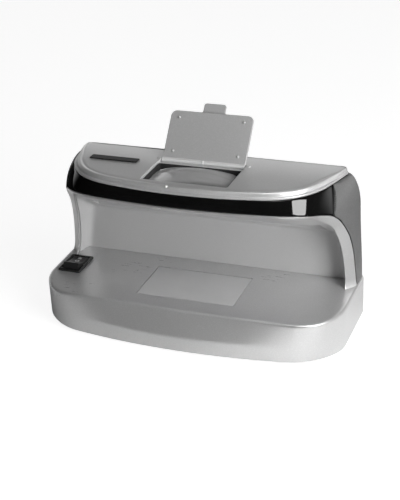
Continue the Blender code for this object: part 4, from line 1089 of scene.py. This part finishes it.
def ray_rect(angle, half_x, half_y, r):
    """Where a ray from the opening's middle meets a rounded rectangle."""
    dx, dy = math.cos(angle), math.sin(angle)
    t = min(half_x / abs(dx) if abs(dx) > 1e-9 else 1e9,
            half_y / abs(dy) if abs(dy) > 1e-9 else 1e9)
    x, y = dx * t, dy * t
    if abs(x) > half_x - r and abs(y) > half_y - r:
        cx, cy = math.copysign(half_x - r, x), math.copysign(half_y - r, y)
        b = dx * cx + dy * cy
        c = cx * cx + cy * cy - r * r
        t = b + math.sqrt(max(0.0, b * b - c))
        x, y = dx * t, dy * t
    return x, y + OPEN_CY


inner_flat = cover_ring(*BEAD[-1])
rays = np.arctan2(inner_flat[:, 1] - OPEN_CY, inner_flat[:, 0])


def open_plan(grow, half_x=OPEN_HALF, half_y=OPEN_HALF_Y):
    return np.array([ray_rect(t, half_x + grow, half_y + grow, OPEN_R + grow) for t in rays])


rim_plan = open_plan(0.75)
rings = [cover_ring(*b) for b in BEAD]
for k in range(1, 10):
    s = k / 10
    rings.append(rolled(inner_flat[:, :2] * (1 - s) + rim_plan * s, COVER_Z))
# Over the rounded rim of the opening: growth of the opening, drop below the top.
rings += [rolled(open_plan(grow), COVER_Z - drop)
          for grow, drop in ((0.75, 0.0), (0.45, 0.05), (0.2, 0.17), (0.05, 0.38), (0.0, 0.7))]
rings += [level(open_plan(0.0), 94.0), level(open_plan(0.0), 90.2),
          level(open_plan(0.0, **POCKET), 90.2), level(open_plan(0.0, **POCKET), 92.0),
          cover_ring(12.0, 93.2, 0.8), cover_ring(3.2, COVER_UNDER)]
cover = loft(rings, "head_cover", closed_path=True, angle=38)
# Bar across the rear of the opening, with a groove under the lid's barrel: y, z.
BED = [(57.0, 90.6), (66.5, 90.6), (66.5, 95.95), (65.0, 95.95), (64.6, 95.8), (63.5, 95.0),
       (63.4, 94.4), (59.8, 94.4), (59.8, 95.5), (59.6, 95.65), (57.3, 95.65), (57.0, 95.4)]
bed = loft([[(x, y, z) for y, z in BED] for x in (-27.3, 27.3)])
ears = merged([rod((x, LID_AXIS_Y, LID_AXIS_Z), (1, 0, 0), EAR_R, EAR_W, 32, 0.4)
               for x in (-EAR_X - EAR_W, EAR_X)])
pin_bore = rod((-28.7, LID_AXIS_Y, LID_AXIS_Z), (1, 0, 0), LID_BORE_R, 57.4, 20)
combine(cover, add=[bed, ears], cut=[pin_bore], angle=38)
place(cover, SILVER_TOP, "top_cover")

# small stop under the corner of the closed lid's tab; its white plastic stands in for the bright glint there, a
# painted highlight
glint_peg = lathe((-TAB_HALF, 21.25, 96.9), (0, 0, 1), pin_profile(0.75, 0.8, 0.5), 24,
            "lid_stop_glint_peg")
place(glint_peg, WHITE, slot="white_plastic")

# Dark sleeve that lines the opening beside the lens, below the closed lid: a black sheet standing in for the shade
# in the gap beside the lens, painted shade.
# Outer and inner walls: half width, y range, corner radius.
SLEEVE_OUT = (OPEN_HALF - 0.08, OPEN_Y0 + 0.08, 56.9, 1.2)
SLEEVE_IN = (OPEN_HALF - 0.42, OPEN_Y0 + 0.36, 56.62, 0.9)


def sleeve_lip(wall, inward, radius):
    half, y0, y1, _ = wall
    return rect_ring(half - inward, y0 + inward, y1 - inward, radius, 95.72)


sleeve = loft([rect_ring(*SLEEVE_OUT, 90.35), rect_ring(*SLEEVE_OUT, 95.6),
               sleeve_lip(SLEEVE_OUT, 0.08, 1.1), sleeve_lip(SLEEVE_IN, -0.08, 1.0),
               rect_ring(*SLEEVE_IN, 95.6), rect_ring(*SLEEVE_IN, 90.35)],
              "lens_gap_painted_shade", closed_path=True, angle=40)
place(sleeve, BLACK_MATT)

# ------------------------------------------------------------------ lens
LENS_HALF, LENS_Y0, LENS_Y1, LENS_R, LENS_EDGE = 25.9, 29.3, 56.4, 6.0, 0.25
LENS_TOP, LENS_FLAT, LENS_RX, LENS_RY = 95.7, 88.9, 110.0, 300.0
LENS_CY, LENS_HALF_Y = (LENS_Y0 + LENS_Y1) / 2, (LENS_Y1 - LENS_Y0) / 2
NX, NY = 72, 48


def rounded(u, v, half_x, half_y, r):
    """Point of a square grid (-1 to 1) pulled into a rounded rectangle."""
    x, y = u * half_x, v * half_y
    cx, cy = half_x - r, half_y - r
    if abs(x) > cx and abs(y) > cy:
        dx, dy = (abs(x) - cx) / r, (abs(y) - cy) / r
        square, away = max(dx, dy), math.hypot(dx, dy)
        dx, dy = dx * square / away, dy * square / away
        x, y = math.copysign(cx + dx * r, x), math.copysign(cy + dy * r, y)
    return x, y


def rim_normal(x, y):
    """Outward direction at the lens rim, from the lens middle's own x and y."""
    near = LENS_R + 0.3
    nx = math.copysign(1.0, x) if abs(x) > LENS_HALF - near else 0.0
    ny = math.copysign(1.0, y) if abs(y) > LENS_HALF_Y - near else 0.0
    if nx and ny:
        dx = x - math.copysign(LENS_HALF - (LENS_R + LENS_EDGE), x)
        dy = y - math.copysign(LENS_HALF_Y - (LENS_R + LENS_EDGE), y)
        away = math.hypot(dx, dy)
        nx, ny = dx / away, dy / away
    return nx, ny


verts, faces = [], []
for underside in (False, True):
    for j in range(NY + 1):
        for i in range(NX + 1):
            x, y = rounded(2 * i / NX - 1, 2 * j / NY - 1, LENS_HALF - LENS_EDGE,
                           LENS_HALF_Y - LENS_EDGE, LENS_R)
            z = LENS_TOP - x * x / (2 * LENS_RX) - y * y / (2 * LENS_RY)
            verts.append((x, LENS_CY + y, LENS_FLAT if underside else z))
row_len = NX + 1
under = row_len * (NY + 1)                           # first index of the underside
for start in (0, under):
    for j in range(NY):
        for i in range(NX):
            a = start + j * row_len + i
            faces.append((a, a + 1, a + row_len + 1, a + row_len))
rim = list(range(NX)) + [j * row_len + NX for j in range(NY)] \
    + [NY * row_len + i for i in range(NX, 0, -1)] + [j * row_len for j in range(NY, 0, -1)]
previous = rim
for out, drop in ((0.17, -0.07), (LENS_EDGE, -0.25)):
    ring = list(range(len(verts), len(verts) + len(rim)))
    for i in rim:
        x, y, z = verts[i]
        nx, ny = rim_normal(x, y - LENS_CY)
        verts.append((x + nx * out, y + ny * out, z + drop))
    faces += ring_faces(previous, ring)
    previous = ring
ring = list(range(len(verts), len(verts) + len(rim)))
verts += [(verts[i][0], verts[i][1], LENS_FLAT + 0.2) for i in previous]
for pair in zip(ring_faces(previous, ring), ring_faces(ring, [i + under for i in rim])):
    faces += pair
lens = make("magnifier_glass", verts, faces, angle=30)
place(lens, CLEAR, "magnifier_lens")


# ------------------------------------------------------------------ lid, drawn closed
def lid_outline():
    """Plan of the closed lid, rear edge on the axis, with points at most about 2 apart."""
    corner = quarter(LID_HALF - LID_CORNER_R, LID_LEN - LID_CORNER_R, LID_CORNER_R, 12)
    edge = ([(LID_HALF, 0.0)] + corner + [(-x, y) for x, y in reversed(corner)]
            + [(-LID_HALF, 0.0)])
    out = []
    for (x0, y0), (x1, y1) in zip(edge, edge[1:] + edge[:1]):
        steps = max(1, int(math.hypot(x1 - x0, y1 - y0) / 2.0))
        out += [(x0 + (x1 - x0) * k / steps, y0 + (y1 - y0) * k / steps) for k in range(steps)]
    return np.array([(x, LID_AXIS_Y - y) for x, y in out])[::-1]


def tab_outline():
    half = [(TAB_HALF + 1.1, LID_LEN - 1.2), (TAB_HALF + 1.05, LID_LEN - 0.3),
            (TAB_HALF + 0.5, LID_LEN + 0.25), (TAB_HALF - 0.05, LID_LEN + 0.9),
            (TAB_HALF - 0.3, LID_LEN + 1.6)]
    half += quarter(TAB_HALF - 1.9, LID_LEN + TAB_LEN - 1.6, 1.6, 8)
    full = half + [(-x, y) for x, y in reversed(half)]
    return np.array([(x, LID_AXIS_Y - y) for x, y in full])[::-1]


def riser_ring(height, inward):
    """Ring of the block that lifts the tab above the lid."""
    wide, narrow = TAB_HALF + 1.9 - inward, TAB_HALF + 1.4 - inward
    start, end = LID_LEN - 1.6 + inward, LID_LEN - 0.05
    return [(x, LID_AXIS_Y - y, LID_AXIS_Z + height)
            for x, y in ((wide, start), (narrow, end), (-narrow, end), (-wide, start))]


lid = slab(lid_outline(), LID_AXIS_Z + LID_LOW, LID_AXIS_Z + LID_TOP, 0.32, name="flap_lid")
riser = loft([riser_ring(LID_TOP - 0.6, 0.0), riser_ring(LID_TOP + TAB_STEP - 0.3, 0.0),
              riser_ring(LID_TOP + TAB_STEP - 0.05, 0.2)])
tab = slab(tab_outline(), LID_AXIS_Z + LID_TOP + 0.4, LID_AXIS_Z + LID_TOP + TAB_STEP, 0.25,
           seg=3)
bumps = merged([lathe((x, LID_AXIS_Y - y, LID_AXIS_Z + 0.4), (0, 0, -1),
                      pin_profile(0.95, 0.65, 0.6), 24)
                for y in (6.0, 27.3) for x in (-20.6, 20.6)])
COLLAR_R = LID_BARREL_R + 0.22
barrel = lathe((-LID_HALF, LID_AXIS_Y, LID_AXIS_Z), (1, 0, 0),
               soft_profile([(0, 0), (LID_BARREL_R, 0), (LID_BARREL_R, 25.5),
                             (COLLAR_R, 25.7), (COLLAR_R, 26.7), (LID_BARREL_R, 26.9),
                             (LID_BARREL_R, 2 * LID_HALF), (0, 2 * LID_HALF)], 0.25), 40)
combine(lid, add=[barrel, riser, tab, bumps],
        cut=[rod((-LID_HALF - 1, LID_AXIS_Y, LID_AXIS_Z), (1, 0, 0), LID_BORE_R,
                 2 * LID_HALF + 2, 24)])
turn_back(lid, LID_AXIS, LID_OPEN)
place(lid, LID_GREY, "magnifier_lid", "lid")

# ------------------------------------------------------------------ switch housing
bezel = slab(rounded_rect(7.5, 10.5, 0.9, 6, SWITCH_X, SWITCH_Y), 26.35, 27.9, 0.45,
             name="switch_bezel")
body = box((SWITCH_X - 6.4, SWITCH_X + 6.4), (SWITCH_Y - 9.4, SWITCH_Y + 9.4), (12.0, 27.0))
well = loft([level(rounded_rect(5.5 + grow, 8.6 + grow, 0.4 + grow, 4, SWITCH_X, SWITCH_Y), z)
             for z, grow in ((18.0, 0), (27.3, 0), (27.65, 0.12), (27.9, 0.5), (29.0, 1.6))])
combine(bezel, add=[body],
        cut=[well, rod((SWITCH_X - 6.1, SWITCH_Y, PIVOT_Z), (1, 0, 0), 1.1, 12.2, 24)])
place(bezel, BLACK, "switch_housing")


# ------------------------------------------------------------------ rocker and its marks
def rocker_top(y):
    """Height of the rocker's dished face above its pivot."""
    return 1.75 + 1.25 * (abs(y) / 7.1) ** 1.7


ROCKER_END = [(7.7, 2.45), (7.6, 2.75), (7.4, 2.92)]                # y, z from the pivot
rocker_side = [(-7.7, -2.6), (-7.3, -3.1), (-6.6, -3.4), (6.6, -3.4), (7.3, -3.1), (7.7, -2.6)]
rocker_side += ROCKER_END
rocker_side += [(y, rocker_top(y)) for y in np.linspace(7.1, -7.1, 29)]
rocker_side = np.array(rocker_side + [(-y, z) for y, z in reversed(ROCKER_END)])
ROCKER_EDGE = [(5.15, 0.4), (5.12, 0.2), (5.0, 0.06), (4.8, 0.0)]   # x from the middle, inset


def rocker_ring(x, inward):
    return [(SWITCH_X + x, SWITCH_Y + a, PIVOT_Z + b) for a, b in inset(rocker_side, inward)]


rocker = loft([rocker_ring(-x, d) for x, d in ROCKER_EDGE]
              + [rocker_ring(x, d) for x, d in reversed(ROCKER_EDGE)], "rocker_key")
combine(rocker, cut=[rod((SWITCH_X - 6.0, SWITCH_Y, PIVOT_Z), (1, 0, 0), 1.15, 12.0, 24)])


def on_rocker(name, plan, hole=None, lift=0.09):
    """A raised mark that follows the rocker's face."""
    def ring(outline, rise):
        return [(SWITCH_X + x, SWITCH_Y + y, PIVOT_Z + rocker_top(y) + rise)
                for x, y in outline]
    if hole is None:
        return loft([ring(plan, -0.3), ring(plan, lift * 0.6), ring(inset(plan, 0.06), lift)],
                    name)
    return loft([ring(plan, -0.3), ring(plan, lift), ring(hole, lift), ring(hole, -0.3)],
                name, closed_path=True)


def bar(y):
    return rounded_rect(1.3, 0.17, 0.12, 3, 0.0, y)


def circle(radius, y):
    angles = [2 * math.pi * i / 40 for i in range(40)]
    return np.array([(radius * math.cos(t), y + radius * math.sin(t)) for t in angles])


marks = [on_rocker("rocker_mark_two_a", bar(5.75)), on_rocker("rocker_mark_two_b", bar(4.6)),
         on_rocker("rocker_mark_off", circle(1.35, 1.2), circle(1.0, 1.2)),
         on_rocker("rocker_mark_one", bar(-5.2))]
for ob in [rocker] + marks:
    turn_back(ob, ROCKER_AXIS, ROCKER_TILT)
place(rocker, ROCKER_BLACK, "switch_rocker", "rocker")
for ob in marks:
    place(ob, MARK, body="rocker")

# ------------------------------------------------------------------ name plate
(px0, py0, pz0), (px1, py1, pz1) = [drawn(corner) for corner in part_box("name_plate")]
plan = rounded_rect((px1 - px0) / 2, (py1 - py0) / 2, 0.9, 8, (px0 + px1) / 2, (py0 + py1) / 2)
# Inset and z, from underneath round the edge and over the raised border.
PLATE_EDGE = [(0.6, pz0), (0.05, pz0), (0.0, pz0 + 0.08), (0.0, pz1 - 0.14),
              (0.05, pz1 - 0.04), (0.16, pz1), (0.42, pz1), (0.5, pz1 - 0.1),
              (0.62, pz1 - 0.1), (0.7, pz1 - 0.02), (0.85, pz1 - 0.02)]
plate = loft([rolled(inset(plan, d), z) for d, z in PLATE_EDGE], "name_plate_blank", angle=30)
place(plate, BADGE, "name_plate")

# ------------------------------------------------------------------ back-light window
# Half width, y range, corner radius, z: a wide flange below and the window above it.
WINDOW = [(33.5, 17.6, 58.4, 0.5, 21.7), (33.5, 17.6, 58.4, 0.5, 23.05),
          (30.65, 20.35, 55.65, 0.4, 23.05), (30.65, 20.35, 55.65, 0.4, 25.7),
          (30.58, 20.42, 55.58, 0.4, 25.88), (30.35, 20.65, 55.35, 0.4, 25.95),
          (30.0, 21.0, 55.0, 0.4, 25.95)]
window = loft([rect_ring(*row, steps=5) for row in WINDOW], "tray_window", angle=40)
place(window, FROST, "backlight_window")

# ------------------------------------------------------------------ feet
FEET = {"fl": (-60, 19), "fr": (60, 19), "rl": (-66, 72), "rr": (66, 72)}            # x, y
FOOT_PROFILE = soft_profile([(0, 0.25), (3.6, 0.25), (3.9, 0.0), (5.6, 0.0), (6.2, 0.6),
                             (6.2, 1.9), (0, 1.9)], 0.3)
for tag, (x, y) in FEET.items():
    place(lathe((x, y, 0.0), (0, 0, 1), FOOT_PROFILE, 64, f"foot_{tag}"), RUBBER,
          f"rubber_foot_{tag}")

# ------------------------------------------------------------------ screws
CROSS_DEPTH, CROSS_HALF, CROSS_HALF_W = 0.75, 1.45, 0.42
REAR_PROFILE = [(0, 0)] + soft_profile(
    [(1.6, 0.02), (2.2, 0.0), (2.75, 0.25), (3.0, 0.65), (3.0, 1.2), (1.4, 1.2), (1.4, 10.5)],
    0.15) + [(0, 11.5)]
BASE_PROFILE = [(0, 0)] + soft_profile(
    [(1.6, 0.0), (2.2, 0.0), (2.6, 0.2), (2.8, 0.5), (2.8, 1.0), (1.4, 1.0), (1.4, 14.0)],
    0.12) + [(0, 15.0)]


def cross_cutters(origin, axis):
    """Two tapering bars for a cross recess, sunk along the axis from the origin."""
    axis = Vector(axis).normalized()
    u = Vector((1, 0, 0))
    v = axis.cross(u)
    start = point(*origin)
    square = ((-1, -1), (1, -1), (1, 1), (-1, 1))
    bars = []
    for a, b in ((u, v), (v, u)):
        bm = bmesh.new()
        top = [bm.verts.new(start - axis * 0.5 * MM
                            + (a * sx * CROSS_HALF + b * sy * CROSS_HALF_W) * MM)
               for sx, sy in square]
        bottom = [bm.verts.new(start + axis * CROSS_DEPTH * MM
                               + (a * sx * CROSS_HALF * 0.45 + b * sy * CROSS_HALF_W * 0.6) * MM)
                  for sx, sy in square]
        for face in ring_faces(top, bottom):
            bm.faces.new(face)
        bm.faces.new(top)
        bm.faces.new(bottom[::-1])
        bars.append(finish_mesh("tool", bm))
    return bars


def screw(name, node, origin, axis, profile):
    ob = lathe(origin, axis, profile, 40, name)
    combine(ob, cut=cross_cutters(origin, axis), angle=30)
    place(ob, STEEL, node)


for tag, (x, z) in REAR_SCREWS.items():
    screw(f"back_screw_{tag}", f"rear_screw_{tag}", (x, 85.1, z), (0, -1, 0), REAR_PROFILE)
for tag, (x, y) in BASE_SCREWS.items():
    screw(f"under_screw_{tag}", f"base_screw_{tag}", (x, y, 0.9), (0, 0, 1), BASE_PROFILE)

# ------------------------------------------------------------------ power jack
JACK = soft_profile([(0.5, 1.6), (0.95, 2.0), (0.95, 9.0), (2.8, 9.0), (2.8, 0.0), (3.8, 0.0),
                     (3.8, 3.4), (5.4, 3.4), (5.4, 12.5), (0.5, 12.5)], 0.18)
jack = lathe((60, 83.3, 13), (0, -1, 0), [(0, 1.6)] + JACK + [(0, 12.5)], 56, "power_jack")
place(jack, BLACK_MATT, "dc_jack")

# ------------------------------------------------------------------ lamp tube
TUBE_Y, TUBE_Z, TUBE_R, TUBE_LEN = 60.5, 73.5, 8.0, 120
tube = lathe((-TUBE_LEN / 2, TUBE_Y, TUBE_Z), (1, 0, 0),
             [(TUBE_R - 0.9, 0), (TUBE_R - 0.25, 0), (TUBE_R, 0.25), (TUBE_R, TUBE_LEN - 0.25),
              (TUBE_R - 0.25, TUBE_LEN), (TUBE_R - 0.9, TUBE_LEN)], 72, "lamp_glass")
place(tube, TUBE, "uv_lamp_tube")


# ------------------------------------------------------------------ floor, in metres
def floor_material():
    """Pale table. Away from the object it only matters to reflections, which see it fade."""
    s = Shader("floor_pale")
    cloud = s.rise(s.noise(scale=3.0, detail=2.0), 0.3, 0.7)
    s.set(Base_Color=s.mix(cloud, grey(0.30), grey(0.31)), Roughness=0.9,
          Specular_IOR_Level=0.0, Emission_Color=grey(1.0), Emission_Strength=0.90)
    away = s.node('VectorMath', {0: s.obj}, 1, operation='LENGTH')
    x, y = s.axis(0), s.axis(1)
    # A patch to the left stays pale for longer.
    beside = s.times(s.fall(x, -0.17, -0.12), s.rise(y, -0.08, -0.02))
    fade = s.times(s.rise(away, 0.13, 0.20),
                   s.minus(1.0, s.times(beside, s.fall(away, 0.20, 0.25))))
    # A patch in front and to the right, and the one to the left, look lit in reflections.
    ahead = s.times(s.span(x, 0.0, 0.07, 0.0, 0.45), s.fall(y, -0.05, -0.03))
    near = s.node('BsdfDiffuse', {'Color': s.mix(fade, grey(0.85), grey(0.04))})
    lit = s.node('Emission', {'Strength': s.times(s.minus(1.0, fade),
                                                  s.plus(ahead, s.times(beside, 0.7)))})
    reflected = s.node('AddShader', {0: near, 1: lit})
    wide = s.node('BsdfDiffuse', {'Color': s.mix(s.rise(away, 0.5, 1.2), grey(0.8),
                                                 grey(0.3))})
    ray = s.add('LightPath').outputs
    unseen = s.node('MixShader', {0: ray['Is Glossy Ray'], 1: wide, 2: reflected})
    surface = s.node('MixShader', {0: ray['Is Camera Ray'], 1: unseen, 2: s.bsdf.outputs[0]})
    s.put(s.out.inputs['Surface'], surface)
    return s.mat


FLOOR_R = 12.0
bm = bmesh.new()
bm.faces.new([bm.verts.new((FLOOR_R * math.cos(a), FLOOR_R * math.sin(a), 0.0))
              for a in [2 * math.pi * i / 96 for i in range(96)]])
floor = finish_mesh("floor", bm)
floor.data.materials.append(floor_material())

# ------------------------------------------------------------------ world
# A dark room in front, and a paler wall behind that is brightest low down. The camera
# itself sees an even pale backdrop.
WORLD_FRONT, WORLD_BACK, WORLD_GLOW, WORLD_TOP, BACKDROP = 0.0, 0.02, 1.12, 0.0, 0.97
SOFT = dict(interpolation_type='SMOOTHSTEP')
world = bpy.data.worlds.new("studio")
bpy.context.scene.world = world
world.use_nodes = True
w = Nodes(world.node_tree)
output, background = w.add('OutputWorld'), w.add('Background', {'Color': grey(1.0)})
w.put(output.inputs[0], background.outputs[0])
ray = w.add('SeparateXYZ', {0: w.node('TexCoord', output='Generated')}).outputs
behind = w.span(ray['Y'], 0.12, 0.62, 0.0, 1.0, **SOFT)
low_down = w.span(ray['Z'], 0.12, 0.48, 1.0, 0.0, **SOFT)
glow = w.times(behind, w.times(low_down, WORLD_GLOW))
room = w.plus(w.plus(WORLD_FRONT, w.times(behind, WORLD_BACK)), glow)
ceiling = w.span(ray['Z'], 0.55, 0.95, 0.0, WORLD_TOP, **SOFT)
seen = w.node('LightPath', output='Is Camera Ray')
room = w.times(w.plus(room, ceiling), w.minus(1.0, seen))
w.put(background.inputs['Strength'], w.plus(room, w.times(seen, BACKDROP)))


# ------------------------------------------------------------------ lights, in metres
def soft_box(name, azimuth, elevation, distance, width, height, radiance, turn=0.0,
             target=(0, 0, 0.06), diffuse=True, glossy=True):
    """Rectangular light seen from the target at an azimuth right of straight ahead."""
    a, e = math.radians(azimuth), math.radians(elevation)
    out = Vector((math.sin(a) * math.cos(e), -math.cos(a) * math.cos(e), math.sin(e)))
    light = bpy.data.lights.new(name, 'AREA')
    light.shape = 'RECTANGLE'
    light.size, light.size_y = width, height
    light.energy = radiance * math.pi * width * height
    ob = link(name, light)
    ob.location = Vector(target) + out * distance
    ob.rotation_mode = 'QUATERNION'
    spin = Matrix.Rotation(math.radians(turn), 3, 'Z').to_quaternion()
    ob.rotation_quaternion = (-out).to_track_quat('-Z', 'Y') @ spin
    ob.visible_diffuse, ob.visible_glossy = diffuse, glossy


KEY = dict(azimuth=61.5, elevation=30.0, distance=1.1, width=0.47, height=0.66, turn=-30.0,
           target=(0.068, -0.016, 0.09))
soft_box("key_card", radiance=12.5, diffuse=False, **KEY)
soft_box("key_fill", radiance=5.6, **KEY)
soft_box("near_right", azimuth=72.0, elevation=40.0, distance=0.42, width=0.25, height=0.25,
         radiance=3.6, glossy=False)
soft_box("slope_card", azimuth=55.0, elevation=74.0, distance=0.75, width=0.34, height=0.34,
         radiance=4.0, diffuse=False)
soft_box("low_fill", azimuth=58.0, elevation=9.0, distance=1.1, width=0.5, height=0.3,
         radiance=20.0, glossy=False)
soft_box("left_fill", azimuth=-66.0, elevation=3.0, distance=1.1, width=0.5, height=0.3,
         radiance=4.5, glossy=False)

# ------------------------------------------------------------------ camera
# Columns: the camera's right, up and backward directions, and its place in metres.
CAMERA_POSE = (
    (0.9355, -0.1171, 0.3335, 0.2431),
    (0.3503, 0.4323, -0.8309, -0.60044),
    (-0.0469, 0.8941, 0.4454, 0.3691),
    (0, 0, 0, 1))
camera_data = bpy.data.cameras.new("camera")
camera = link("camera", camera_data)
camera.matrix_world = Matrix(CAMERA_POSE)
camera_data.sensor_width, camera_data.sensor_fit, camera_data.lens = 36.0, 'AUTO', 86.693
camera_data.clip_start = 0.01
bpy.context.scene.camera = camera
bpy.context.scene.view_settings.view_transform = 'Standard'
